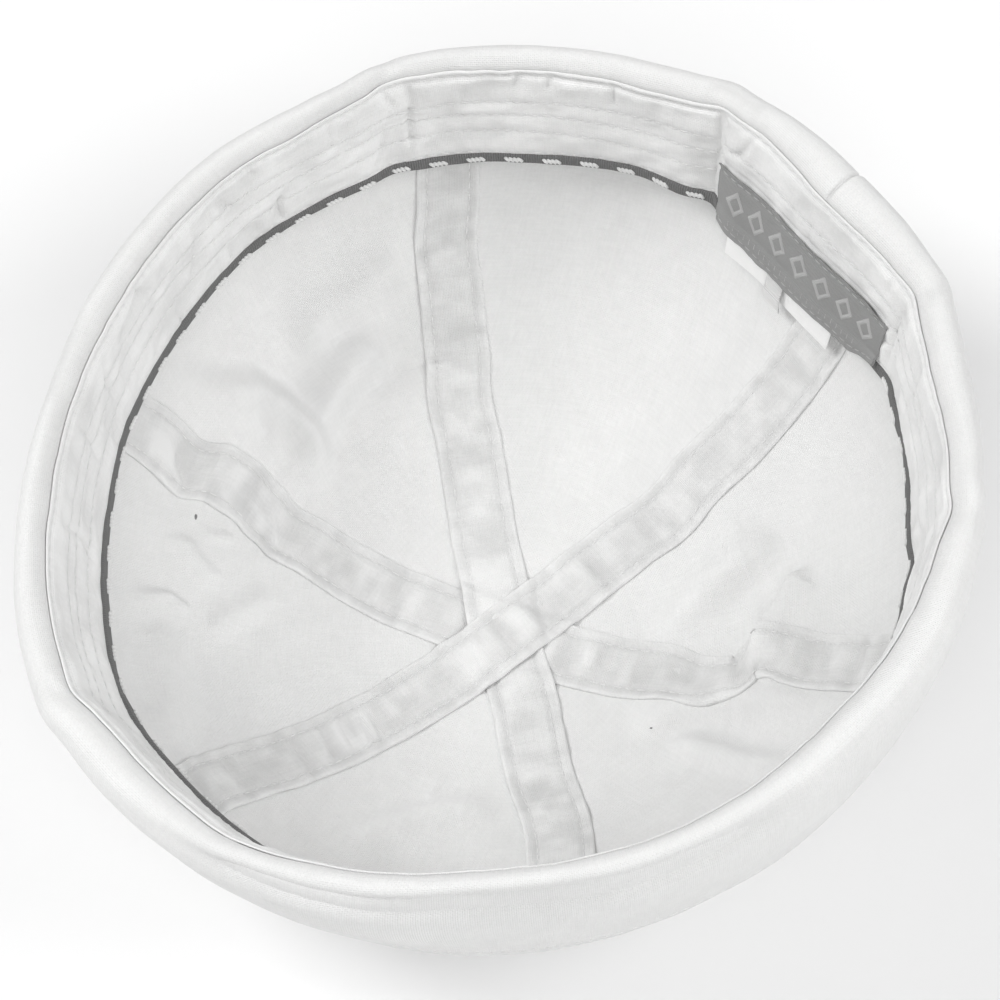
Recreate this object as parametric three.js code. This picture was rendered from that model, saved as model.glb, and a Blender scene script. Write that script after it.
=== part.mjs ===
// A docker cap of light woven cotton, lying upside down on its crown with the head opening up.
// Millimetres and degrees. +Z is up, the back of the cap is at +Y, and angles run from +X towards +Y.
import * as THREE from "three";

// Driving dimensions: heights above the surface that the crown rests on
const SEAM_HEIGHT = 81.3; // the seam between sweatband and cuff
const BAND_HEIGHT = 48.6; // the lower edge of the sweatband's binding
const BINDING_WIDTH = 3.6;
const CROWN_EDGE_DROP = 2.6; // the crown's edge lies this far below the seam, inside the cuff
const CUFF_DROP_SCALE = 1.05; // stretches the cuff's section downwards

// Driving dimensions: thicknesses and gaps
const GAP = 0.3;
const CROWN_THICKNESS = 1.0;
const TAPE_THICKNESS = 1.0;
const SWEATBAND_THICKNESS = 1.2;
const BINDING_THICKNESS = 2.0;
const LABEL_THICKNESS = 1.0;
const CUFF_THICKNESS = 2.2;
const CUFF_EDGE_THICKNESS = 1.0;

// Driving dimensions: the two ovals that carry the opening, seen from above.
// turn swings the long axis from the back of the cap towards the left.
const RIM_OVAL = { halfLength: 97.6, halfWidth: 90.8, turn: 8, x: 0, y: 0 };
const BAND_OVAL = { halfLength: 93.0, halfWidth: 85.4, turn: 33, x: 0, y: 2.4 };

// Driving dimensions: the crown's dome and its flattened middle
const CROSSING = { x: -0.6, y: -1.4 }; // where the seams of the crown meet
const DOME_REACH_POWER = 1.163;
const DOME_RISE_POWER = 1.1;
const SETTLE_DEPTH = 3.0; // how much of the dome's bottom is pressed flat
const SETTLE_SOFTNESS = 3.0;
const FLAT_LEVEL = 0.215; // up to this level of the dome it lies flat

// How far the soft opening departs from its ovals, at even steps around, in millimetres.
// rim moves the seam and band the crown beside the sweatband's lower edge, both outwards. hang is how far
// the sweatband's lower edge hangs away from the crown, and puff swells the cuff.
const BENDS = [
  { at: 0, rim: -1.3, band: -2.3, hang: 0.5, puff: 0.2 },
  { at: 15, rim: -1.4, band: -2.6, hang: 0.5, puff: 0.4 },
  { at: 30, rim: -1.8, band: -2.4, hang: 0.3, puff: -0.3 },
  { at: 45, rim: -2.4, band: -1.7, hang: 2.2, puff: -1.5 },
  { at: 60, rim: -5.0, band: -1.5, hang: 1.5, puff: 0.0 },
  { at: 75, rim: -3.7, band: -2.1, hang: 1.1, puff: 0.3 },
  { at: 90, rim: -5.7, band: -3.0, hang: 3.9, puff: 2.5 },
  { at: 105, rim: -1.0, band: -0.9, hang: 3.4, puff: -0.6 },
  { at: 120, rim: -0.1, band: 0.7, hang: 1.0, puff: -1.3 },
  { at: 135, rim: 1.9, band: 1.4, hang: 1.3, puff: -1.8 },
  { at: 150, rim: 4.0, band: 2.8, hang: 0.7, puff: -2.6 },
  { at: 165, rim: 1.0, band: 3.8, hang: 1.7, puff: -2.3 },
  { at: 180, rim: 1.2, band: 4.0, hang: 1.3, puff: -1.9 },
  { at: 195, rim: 0.1, band: 3.0, hang: 1.6, puff: -1.8 },
  { at: 210, rim: -0.3, band: 1.8, hang: 0.4, puff: -2.2 },
  { at: 225, rim: 0.5, band: 1.2, hang: 0.2, puff: -2.9 },
  { at: 240, rim: 3.0, band: 3.3, hang: 1.5, puff: -2.0 },
  { at: 255, rim: 6.7, band: 3.5, hang: 0.0, puff: -1.1 },
  { at: 270, rim: 6.4, band: 1.4, hang: 0.0, puff: 0.3 },
  { at: 285, rim: 7.4, band: 1.1, hang: 0.5, puff: -0.4 },
  { at: 300, rim: 4.5, band: 0.3, hang: 0.6, puff: 0.7 },
  { at: 315, rim: 1.5, band: -1.2, hang: 0.5, puff: -2.0 },
  { at: 330, rim: 1.0, band: -2.3, hang: 0.5, puff: -1.2 },
  { at: 345, rim: 0.2, band: -2.6, hang: 0.5, puff: -0.7 },
];

// Upright folds that press the sweatband's lower edge back towards the crown: direction, how far, and
// half width in degrees.
const BAND_FOLDS = [
  { at: 40, press: 1.0, spread: 3 },
  { at: 70.5, press: 0.9, spread: 3 },
  { at: 110, press: 2.4, spread: 3 },
  { at: 155, press: 0.9, spread: 3 },
  { at: 215, press: 0.5, spread: 4 },
];

// The six seams of the crown: their direction at the crossing, halfway up and at the edge.
// jog is how far the first seam is pushed aside where the cloth is tucked, in degrees.
const SEAMS = [
  { near: 30, middle: 28.5, edge: 31, jog: 4.5 },
  { near: 90, middle: 87.5, edge: 88, jog: 0 },
  { near: 149, middle: 149, edge: 147, jog: 0 },
  { near: 206, middle: 204.5, edge: 209, jog: 0 },
  { near: 266, middle: 264, edge: 270, jog: 0 },
  { near: 333, middle: 327, edge: 326, jog: 0 },
];
const JOG_LEVELS = { start: 0.42, full: 0.47, fade: 0.5, end: 0.95 };

// The three seam tapes, from the lowest at the crossing to the highest.
const TAPES = [
  { name: "seam_tape_lower", from: 0, to: 3, stack: 0 },
  { name: "seam_tape_middle", from: 2, to: 5, stack: 1 },
  { name: "seam_tape_upper", from: 1, to: 4, stack: 2 },
];
const TAPE_WIDTH = 15;
const TAPE_STACK_REACH = 13.5; // a tape lies raised over the others up to here
const TAPE_STACK_END = 25;

// Soft folds in the crown: middle of the fold seen from above, direction, half length,
// half width and lift into the hollow, negative for a valley.
const FOLDS = [
  { name: "ridge across the right tape", x: 48, y: 40, turn: 106, length: 17, width: 7.5, lift: 4.0 },
  { name: "valley beside that ridge", x: 37, y: 34, turn: 106, length: 13, width: 5, lift: -1.6 },
  { name: "long ridge at the back right", x: 21, y: 44, turn: 88, length: 19, width: 6, lift: 1.5 },
  { name: "dent at the right", x: 62, y: 13, turn: 10, length: 13, width: 7, lift: -2.2 },
  { name: "arc at the left", x: -81, y: -9, turn: 55, length: 13, width: 5, lift: -1.8 },
  { name: "end of that arc", x: -69, y: 1, turn: 12, length: 9, width: 4.5, lift: -1.8 },
  { name: "valley at the left", x: -65, y: 16, turn: 105, length: 13, width: 5.5, lift: -1.8 },
  { name: "ridge beside that valley", x: -73, y: 20, turn: 100, length: 14, width: 5, lift: 1.8 },
  { name: "hollow at the front left", x: -58, y: -28, turn: 60, length: 12, width: 8, lift: -1.4 },
  { name: "small crease at the front left", x: -49, y: -62, turn: 70, length: 7, width: 4, lift: 1.3 },
  { name: "hollow at the front", x: 28, y: -56, turn: 29, length: 18, width: 8, lift: -2.0 },
];

// The cuff's outer surface in section: out from the crown's skin and up from the seam.
const CUFF_SECTION = [
  { out: -0.9, up: -1.2 },
  { out: -0.7, up: 0.8 },
  { out: 0.7, up: 2.6 },
  { out: 2.9, up: 3.2 },
  { out: 5.3, up: 2.2 },
  { out: 7.1, up: -0.8 },
  { out: 7.9, up: -5 },
  { out: 8.0, up: -10 },
  { out: 7.7, up: -15 },
  { out: 6.9, up: -20 },
  { out: 5.8, up: -25 },
  { out: 4.8, up: -30 },
  { out: 3.8, up: -35 },
  { out: 3.1, up: -38.5 },
];
const PUFF_REFERENCE = 8; // the cuff's own swell, which puff adds to
const CUFF_EDGE_ROWS = 3; // the cuff reaches its full thickness after this many rows of its section
const HEM_ROWS = 4; // the hem's rows, which stay close to the crown whatever the swell

// Labels at the back, by direction and by height above the binding's lower edge
const BACK_LABEL = { from: 73.4, to: 108.2, low: -1, high: 19.8 };
const LABEL_BEND_HEIGHT = 5.6; // above it the back label lies on the sweatband, below it on the binding
const LABEL_FOOT_LIFT = 0.7; // how far the label's lower edge stands off, over the tops of the hanging labels
const CARE_LABEL = { from: 84, to: 106, lowLevel: 0.87, highLevel: 0.994, depth: 2.7 };
const SIZE_TAB = { from: 93.6, to: 97.0, lowLevel: 0.81, highLevel: 0.994, depth: 4.1 };
const HANGING_SLACK = 0.6; // the share of the sweatband's hang that a hanging label keeps at its foot

// Mesh steps
const AROUND_STEP = 5;
const CUFF_STEPS = 64;
const PANEL_CELLS = 11;
const TIP_LEVEL = 0.018;
const DOME_LEVELS = [FLAT_LEVEL, 0.3, 0.38, 0.46, 0.54, 0.62, 0.7, 0.78, 0.86, 0.93, 1];
const TAPE_TOP_LEVEL = 1.33;
const PANEL_LEVELS = [TIP_LEVEL, 0.12, ...DOME_LEVELS, TAPE_TOP_LEVEL, 1.67, 2];
const SWEATBAND_ROWS = [BINDING_WIDTH + GAP, 12, BACK_LABEL.high, 27, SEAM_HEIGHT - BAND_HEIGHT + GAP];
const BINDING_BEVEL = 0.5;
const NORMAL_ANGLE_STEP = 0.5; // steps to each side, from which a surface's normal is worked out
const NORMAL_LEVEL_STEP = 0.01;
const HALVINGS = 24; // halvings that find the level of a height on the dome

// Materials
const cloth = (color, roughness) => new THREE.MeshStandardMaterial({ color, roughness, metalness: 0 });
const CROWN_COTTON = cloth(0xf0f0ee, 0.95);
const TAPE_COTTON = cloth(0xe6e6e4, 0.95);
const CUFF_COTTON = cloth(0xf2f2f0, 0.95);
const BAND_COTTON = cloth(0xe2e2e0, 0.95);
const BINDING_RIBBON = cloth(0x4b4c50, 0.8);
const LABEL_WEAVE = cloth(0x6f7072, 0.75);
const LABEL_SATIN = cloth(0xfcfcfc, 0.5);
const TAB_RIBBON = cloth(0xdededc, 0.7);

const radians = THREE.MathUtils.degToRad;
const lerp = THREE.MathUtils.lerp;

// Radius of an oval in a direction from its own centre.
function ovalRadius(oval, angle) {
  const turned = radians(angle - 90 - oval.turn);
  return 1 / Math.hypot(Math.cos(turned) / oval.halfLength, Math.sin(turned) / oval.halfWidth);
}

// A column of BENDS at a direction, as a smooth curve through its rows.
function bend(angle, column) {
  const count = BENDS.length;
  const place = (THREE.MathUtils.euclideanModulo(angle, 360) / 360) * count;
  const row = Math.floor(place);
  const t = place - row;
  const [a, b, c, d] = [-1, 0, 1, 2].map((k) => BENDS[(row + k + count) % count][column]);
  const cubic = (-a + 3 * b - 3 * c + d) * t * t * t;
  const square = (2 * a - 5 * b + 4 * c - d) * t * t;
  return 0.5 * (2 * b + (c - a) * t + square + cubic);
}

function ovalPoint(oval, angle, column, out, height) {
  const radius = ovalRadius(oval, angle) + bend(angle, column) + out;
  const direction = radians(angle);
  return new THREE.Vector3(
    oval.x + radius * Math.cos(direction),
    oval.y + radius * Math.sin(direction),
    height,
  );
}

// The crown's skin lies outside the seam line and outside the binding by what is in between.
const SKIN_OUT_AT_RIM = GAP + CROWN_THICKNESS;
const TAPE_DEPTH = CROWN_THICKNESS + GAP;
const BINDING_DEPTH = TAPE_DEPTH + TAPE_THICKNESS + GAP;
const SKIN_OUT_AT_BAND = BINDING_DEPTH + BINDING_THICKNESS;
const WALL_HEIGHT = SEAM_HEIGHT - BAND_HEIGHT;

// The crown's skin between the binding's height and the rim, which is straight in section.
function wallSkin(angle, height) {
  const low = ovalPoint(BAND_OVAL, angle, "band", SKIN_OUT_AT_BAND, BAND_HEIGHT);
  const high = ovalPoint(RIM_OVAL, angle, "rim", SKIN_OUT_AT_RIM, SEAM_HEIGHT);
  return low.lerp(high, (height - BAND_HEIGHT) / WALL_HEIGHT);
}

// The dome's bottom pressed flat by the surface it rests on.
function settle(height) {
  const free = Math.max(height - SETTLE_DEPTH, 0);
  return (free * free) / (free + SETTLE_SOFTNESS);
}

const domeReach = (level) => Math.sin((level * Math.PI) / 2) ** DOME_REACH_POWER;
function domeHeight(level) {
  const rise = 1 - Math.max(Math.cos((level * Math.PI) / 2), 0) ** DOME_RISE_POWER;
  return (BAND_HEIGHT * settle(BAND_HEIGHT * rise)) / settle(BAND_HEIGHT);
}

// The smooth skin: level 0 is the crossing, 1 the binding's height and 2 the crown's edge.
function smoothSkin(angle, level) {
  if (level > 1) {
    return wallSkin(angle, lerp(BAND_HEIGHT, SEAM_HEIGHT - CROWN_EDGE_DROP, level - 1));
  }
  const edge = wallSkin(angle, BAND_HEIGHT);
  const reach = domeReach(Math.max(level, 0));
  return new THREE.Vector3(
    lerp(CROSSING.x, edge.x, reach),
    lerp(CROSSING.y, edge.y, reach),
    domeHeight(Math.max(level, 0)),
  );
}

// How far the folds lift the cloth into the hollow at a point seen from above.
function foldLift(x, y) {
  let lift = 0;
  for (const fold of FOLDS) {
    const turn = radians(fold.turn);
    const along = (x - fold.x) * Math.cos(turn) + (y - fold.y) * Math.sin(turn);
    const across = (y - fold.y) * Math.cos(turn) - (x - fold.x) * Math.sin(turn);
    lift += fold.lift * Math.exp(-((along / fold.length) ** 2) - (across / fold.width) ** 2);
  }
  return lift;
}

// Unit normal of a surface of direction and level, towards the hollow.
function inwardNormal(surface, angle, level) {
  const [left, right] = [angle + NORMAL_ANGLE_STEP, angle - NORMAL_ANGLE_STEP];
  const [above, below] = [level + NORMAL_LEVEL_STEP, Math.max(level - NORMAL_LEVEL_STEP, 0)];
  const around = surface(left, level).sub(surface(right, level));
  const up = surface(angle, above).sub(surface(angle, below));
  return up.cross(around).normalize();
}

const FOLDS_START = FLAT_LEVEL;
const FOLDS_FULL = 0.38;
const FOLDS_END = 1.3;

// The crown's skin with its folds, which fade out towards the flat bottom and the rim.
function skin(angle, level) {
  const point = smoothSkin(angle, level);
  const start = THREE.MathUtils.smoothstep(level, FOLDS_START, FOLDS_FULL);
  const end = 1 - THREE.MathUtils.smoothstep(level, 1, FOLDS_END);
  const lift = foldLift(point.x, point.y) * start * end;
  return point.addScaledVector(inwardNormal(smoothSkin, angle, level), lift);
}

// A point at a depth inside the skin.
function inside(angle, level, depth) {
  if (level <= FLAT_LEVEL) {
    return skin(angle, level).add(new THREE.Vector3(0, 0, depth));
  }
  return skin(angle, level).addScaledVector(inwardNormal(skin, angle, level), depth);
}

// Radius about the seams' crossing at a level.
function localRadius(angle, level) {
  const point = smoothSkin(angle, level);
  return Math.hypot(point.x - CROSSING.x, point.y - CROSSING.y);
}

// Direction of a seam at a level, as a parabola through its three places, with its jog.
function seamAngle(seam, level) {
  const t = Math.min(level, 1);
  const bow = seam.middle - (seam.near + seam.edge) / 2;
  const pushed = THREE.MathUtils.smoothstep(level, JOG_LEVELS.start, JOG_LEVELS.full);
  const faded = THREE.MathUtils.smoothstep(level, JOG_LEVELS.fade, JOG_LEVELS.end);
  return lerp(seam.near, seam.edge, t) + bow * 4 * t * (1 - t) + seam.jog * pushed * (1 - faded);
}

// Turns outward any closed geometry whose faces point inward.
function faceOut(geometry) {
  const position = geometry.getAttribute("position");
  const index = geometry.index.array;
  const [a, b, c] = [new THREE.Vector3(), new THREE.Vector3(), new THREE.Vector3()];
  let volume = 0;
  for (let i = 0; i < index.length; i += 3) {
    a.fromBufferAttribute(position, index[i]);
    b.fromBufferAttribute(position, index[i + 1]);
    c.fromBufferAttribute(position, index[i + 2]);
    volume += a.dot(b.cross(c));
  }
  if (volume < 0) {
    for (let i = 0; i < index.length; i += 3) {
      [index[i + 1], index[i + 2]] = [index[i + 2], index[i + 1]];
    }
  }
  geometry.computeVertexNormals();
  return geometry;
}

// A closed geometry from points and from quads given as four indices.
function fromQuads(points, quads) {
  const triangles = quads.flatMap(([a, b, c, d]) => [a, b, c, a, c, d]);
  const geometry = new THREE.BufferGeometry().setFromPoints(points);
  geometry.setIndex(new THREE.BufferAttribute(new Uint32Array(triangles), 1));
  return faceOut(geometry);
}

// A strip of cloth: a grid of points on each of its two faces, closed around its four edges.
function clothStrip(columns, rows, pointAt) {
  const points = [];
  for (const face of [0, 1]) {
    for (let row = 0; row < rows; row++) {
      for (let column = 0; column < columns; column++) {
        points.push(pointAt(column, row, face));
      }
    }
  }
  const at = (column, row, face) => (face * rows + row) * columns + column;
  const quads = [];
  for (let row = 0; row + 1 < rows; row++) {
    for (let column = 0; column + 1 < columns; column++) {
      const corners = [[column, row], [column + 1, row], [column + 1, row + 1], [column, row + 1]];
      const [a, b, c, d] = corners.map(([i, k]) => at(i, k, 0));
      const [e, f, g, h] = corners.map(([i, k]) => at(i, k, 1));
      // Layers of cloth that lie on each other split each cell along the same diagonal.
      const through = points[e].clone().sub(points[a]);
      const first = points[a].clone().add(points[c]).dot(through);
      const second = points[b].clone().add(points[d]).dot(through);
      quads.push(...(first < second ? [[a, b, c, d], [g, f, e, h]] : [[b, c, d, a], [h, g, f, e]]));
    }
  }
  for (let row = 0; row + 1 < rows; row++) {
    quads.push([at(0, row + 1, 0), at(0, row + 1, 1), at(0, row, 1), at(0, row, 0)]);
    const last = columns - 1;
    quads.push([at(last, row, 0), at(last, row, 1), at(last, row + 1, 1), at(last, row + 1, 0)]);
  }
  for (let column = 0; column + 1 < columns; column++) {
    quads.push([at(column, 0, 0), at(column, 0, 1), at(column + 1, 0, 1), at(column + 1, 0, 0)]);
    const top = rows - 1;
    quads.push([at(column + 1, top, 0), at(column + 1, top, 1), at(column, top, 1), at(column, top, 0)]);
  }
  return fromQuads(points, quads);
}

// A hoop: a closed section repeated at even steps around the opening.
function clothHoop(steps, sectionAt) {
  const sections = Array.from({ length: steps }, (_, i) => sectionAt((i * 360) / steps));
  const size = sections[0].length;
  const quads = [];
  for (let i = 0; i < steps; i++) {
    const next = (i + 1) % steps;
    for (let k = 0; k < size; k++) {
      const after = (k + 1) % size;
      quads.push([i * size + k, next * size + k, next * size + after, i * size + after]);
    }
  }
  return fromQuads(sections.flat(), quads);
}

// One panel of the crown, between two seams that are covered by the tapes.
function crownPanel(index) {
  const left = SEAMS[index];
  const right = SEAMS[(index + 1) % SEAMS.length];
  const wrap = index + 1 === SEAMS.length ? 360 : 0;
  const levels = PANEL_LEVELS;
  const angleAt = (column, level) => {
    const start = seamAngle(left, level);
    const end = seamAngle(right, level) + wrap;
    const radius = localRadius((start + end) / 2, level);
    const gapAngle = THREE.MathUtils.radToDeg(Math.asin(GAP / 2 / radius));
    const flatLimit = (end - start) / PANEL_CELLS;
    const under = THREE.MathUtils.radToDeg(Math.asin(Math.min(TAPE_WIDTH / 2 / radius, 1)));
    const tapeAngle = level < FLAT_LEVEL ? Math.min(under, flatLimit) : under;
    if (column === 0) return start + gapAngle;
    if (column === PANEL_CELLS) return end - gapAngle;
    const t = (column - 1) / (PANEL_CELLS - 2);
    return lerp(start + tapeAngle, end - tapeAngle, t);
  };
  return clothStrip(PANEL_CELLS + 1, levels.length, (column, row, face) => {
    const level = levels[row];
    return inside(angleAt(column, level), level, face * CROWN_THICKNESS);
  });
}

// How high a tape lies over the tapes below it, at a distance from the crossing.
function stackLift(stack, distance) {
  const down = THREE.MathUtils.smoothstep(distance, TAPE_STACK_REACH, TAPE_STACK_END);
  return stack * (TAPE_THICKNESS + GAP) * (1 - down);
}

// One tape, from under the sweatband across the crossing to the other side.
function seamTape(tape) {
  const levels = [...DOME_LEVELS, TAPE_TOP_LEVEL];
  const flatPlaces = [-TAPE_STACK_END, -TAPE_STACK_REACH, 0, TAPE_STACK_REACH, TAPE_STACK_END];
  const first = levels.map((level) => ({ seam: SEAMS[tape.from], level, side: 1 })).reverse();
  const last = levels.map((level) => ({ seam: SEAMS[tape.to], level, side: -1 }));
  const middle = flatPlaces.map((distance) => ({ distance }));
  const stations = [...first, ...middle, ...last];
  const across = [-1, 0, 1];
  return clothStrip(across.length, stations.length, (column, row, face) => {
    const station = stations[row];
    const depth = TAPE_DEPTH + face * TAPE_THICKNESS;
    const aside = (across[column] * TAPE_WIDTH) / 2;
    if (station.distance !== undefined) {
      // Negative distances run along the first seam, positive ones along the other.
      const away = Math.abs(station.distance);
      const seam = station.distance < 0 ? SEAMS[tape.from] : SEAMS[tape.to];
      const chord = (seamAngle(SEAMS[tape.from], 0) + seamAngle(SEAMS[tape.to], 0) - 180) / 2;
      const own = seamAngle(seam, FLAT_LEVEL * (away / TAPE_STACK_END));
      const facing = station.distance < 0 ? own : own - 180;
      const direction = radians(away > 0 ? facing : chord);
      return new THREE.Vector3(
        CROSSING.x - station.distance * Math.cos(direction) - aside * Math.sin(direction),
        CROSSING.y - station.distance * Math.sin(direction) + aside * Math.cos(direction),
        depth + stackLift(tape.stack, away),
      );
    }
    const centre = seamAngle(station.seam, station.level);
    const radius = localRadius(centre, station.level);
    const swing = THREE.MathUtils.radToDeg(Math.asin(aside / radius)) * station.side;
    return inside(centre + swing, station.level, depth);
  });
}

// How far the sweatband and its labels hang away from the crown, which fades out towards the rim.
function hangAt(angle, height) {
  let low = bend(angle, "hang");
  for (const fold of BAND_FOLDS) {
    const away = THREE.MathUtils.euclideanModulo(angle - fold.at + 180, 360) - 180;
    low -= fold.press * Math.exp(-((away / fold.spread) ** 2));
  }
  return Math.max(low, 0) * (1 - THREE.MathUtils.smoothstep(height, 0, WALL_HEIGHT));
}

// A point inside the skin beside the sweatband: height is above the binding's lower edge.
function beside(angle, height, depth) {
  const point = wallSkin(angle, BAND_HEIGHT + height);
  const around = wallSkin(angle + 1, BAND_HEIGHT + height).sub(wallSkin(angle - 1, BAND_HEIGHT + height));
  const inward = new THREE.Vector3(-around.y, around.x, 0).normalize();
  return point.addScaledVector(inward, depth + hangAt(angle, height));
}

// Depth of the sweatband's outer face: clear of the tapes below, close to the crown at the rim.
function sweatbandDepth(height) {
  const tapeTop = (WALL_HEIGHT - CROWN_EDGE_DROP) * (TAPE_TOP_LEVEL - 1) + GAP;
  const t = THREE.MathUtils.clamp((height - tapeTop) / (WALL_HEIGHT - tapeTop), 0, 1);
  return lerp(BINDING_DEPTH, CROWN_THICKNESS + GAP, t);
}

function sweatband() {
  const faces = [0, SWEATBAND_THICKNESS];
  return clothHoop(360 / AROUND_STEP, (angle) => {
    const [outer, inner] = faces.map((depth) =>
      SWEATBAND_ROWS.map((height) => beside(angle, height, sweatbandDepth(height) + depth)),
    );
    return [...outer, ...inner.reverse()];
  });
}

function binding() {
  const [outer, inner] = [BINDING_DEPTH, BINDING_DEPTH + BINDING_THICKNESS];
  const corners = [
    { depth: outer, height: 0 },
    { depth: outer, height: BINDING_WIDTH },
    { depth: inner - BINDING_BEVEL, height: BINDING_WIDTH },
    { depth: inner, height: BINDING_WIDTH - BINDING_BEVEL },
    { depth: inner, height: BINDING_BEVEL },
    { depth: inner - BINDING_BEVEL, height: 0 },
  ];
  return clothHoop(360 / AROUND_STEP, (angle) =>
    corners.map(({ depth, height }) => beside(angle, height, depth)),
  );
}

// The skin carried on below the binding's height, for the cuff that follows it outside.
function skinAtHeight(angle, height) {
  if (height >= BAND_HEIGHT) return wallSkin(angle, height);
  let low = 0;
  let high = 1;
  for (let i = 0; i < HALVINGS; i++) {
    const middle = (low + high) / 2;
    if (domeHeight(middle) < height) low = middle;
    else high = middle;
  }
  const point = smoothSkin(angle, high);
  point.z = height;
  return point;
}

// The turned-up cuff: a puffy roll over the crown's edge, drawn in to a hem at the bottom.
function cuff() {
  return clothHoop(CUFF_STEPS, (angle) => {
    const swell = 1 + bend(angle, "puff") / PUFF_REFERENCE;
    const profile = CUFF_SECTION.map(({ out, up }) => {
      const height = up < 0 ? up * CUFF_DROP_SCALE : up;
      return new THREE.Vector2(out > 0 ? out * swell : out, height);
    });
    const last = profile.length - 1;
    for (let i = last - HEM_ROWS + 1; i <= last; i++) {
      const share = (i - (last - HEM_ROWS)) / HEM_ROWS;
      profile[i].x = lerp(profile[i].x, CUFF_SECTION[i].out, share);
    }
    const back = profile.map((point, i) => {
      const before = profile[Math.max(i - 1, 0)];
      const after = profile[Math.min(i + 1, last)];
      const along = after.clone().sub(before).normalize();
      const thickness = lerp(CUFF_EDGE_THICKNESS, CUFF_THICKNESS, Math.min(i / CUFF_EDGE_ROWS, 1));
      return new THREE.Vector2(point.x + along.y * thickness, point.y - along.x * thickness);
    });
    const direction = radians(angle);
    return [...profile, ...back.reverse()].map(({ x, y }) => {
      const point = skinAtHeight(angle, SEAM_HEIGHT + y);
      return point.add(new THREE.Vector3(x * Math.cos(direction), x * Math.sin(direction), 0));
    });
  });
}

// Directions for a strip at the back, on the sweatband's own mesh steps and at both ends.
function stationsBetween(from, to) {
  const stations = [from];
  const start = Math.ceil((from + GAP) / AROUND_STEP) * AROUND_STEP;
  for (let angle = start; angle < to - GAP; angle += AROUND_STEP) stations.push(angle);
  stations.push(to);
  return stations;
}

// The same point on the flat facets of a hoop that has AROUND_STEP between its sections.
function onFacets(angle, pointAt) {
  const start = Math.floor(angle / AROUND_STEP) * AROUND_STEP;
  return pointAt(start).lerp(pointAt(start + AROUND_STEP), (angle - start) / AROUND_STEP);
}

// Depth of the back label's outer face: over the binding at its foot, on the sweatband above.
function backLabelDepth(height) {
  if (height >= LABEL_BEND_HEIGHT) return sweatbandDepth(height) + SWEATBAND_THICKNESS + GAP;
  const footLift = height < 0 ? LABEL_FOOT_LIFT : 0;
  return BINDING_DEPTH + BINDING_THICKNESS + GAP + footLift;
}

function backLabel() {
  const stations = stationsBetween(BACK_LABEL.from, BACK_LABEL.to);
  const heights = [BACK_LABEL.low, BINDING_WIDTH + GAP, LABEL_BEND_HEIGHT, SWEATBAND_ROWS[1], BACK_LABEL.high];
  return clothStrip(stations.length, heights.length, (column, row, face) => {
    const height = heights[row];
    const depth = backLabelDepth(height) + face * LABEL_THICKNESS;
    return onFacets(stations[column], (angle) => beside(angle, height, depth));
  });
}

// A strip that hangs from the binding down the inside of the crown.
function hangingStrip(strip, rows) {
  const stations = stationsBetween(strip.from, strip.to);
  return clothStrip(stations.length, rows, (column, row, face) => {
    const rise = row / (rows - 1);
    const level = lerp(strip.lowLevel, strip.highLevel, rise);
    const hang = hangAt(stations[column], 0) * lerp(HANGING_SLACK, 1, rise);
    return inside(stations[column], level, strip.depth + hang + face * LABEL_THICKNESS);
  });
}

function addMesh(group, name, geometry, material) {
  const mesh = new THREE.Mesh(geometry, material);
  mesh.name = name;
  group.add(mesh);
}

const cap = new THREE.Group();
SEAMS.forEach((_, i) => addMesh(cap, `crown_panel_${i + 1}`, crownPanel(i), CROWN_COTTON));
TAPES.forEach((tape) => addMesh(cap, tape.name, seamTape(tape), TAPE_COTTON));
addMesh(cap, "sweatband", sweatband(), BAND_COTTON);
addMesh(cap, "sweatband_binding", binding(), BINDING_RIBBON);
addMesh(cap, "cuff", cuff(), CUFF_COTTON);
addMesh(cap, "back_label", backLabel(), LABEL_WEAVE);
addMesh(cap, "care_label", hangingStrip(CARE_LABEL, 3), LABEL_SATIN);
addMesh(cap, "size_tab", hangingStrip(SIZE_TAB, 4), TAB_RIBBON);

// The soft outline isn't even, so the cap is moved until its origin is under the middle of its box.
const box = new THREE.Box3().setFromObject(cap, true);
const middle = box.getCenter(new THREE.Vector3());
cap.position.set(-middle.x, -middle.y, 0);

export default cap;
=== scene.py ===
"""The looks of a docker cap of light woven cotton, lying upside down on its crown with the head opening up.

Sizes are in millimetres and angles in degrees until a mesh is made. Points are worked out in the cap's own
frame, with the opening's ovals about the origin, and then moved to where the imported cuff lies. Angles run
from +X towards +Y, and the back of the cap is at +Y.
"""

import math

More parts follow.
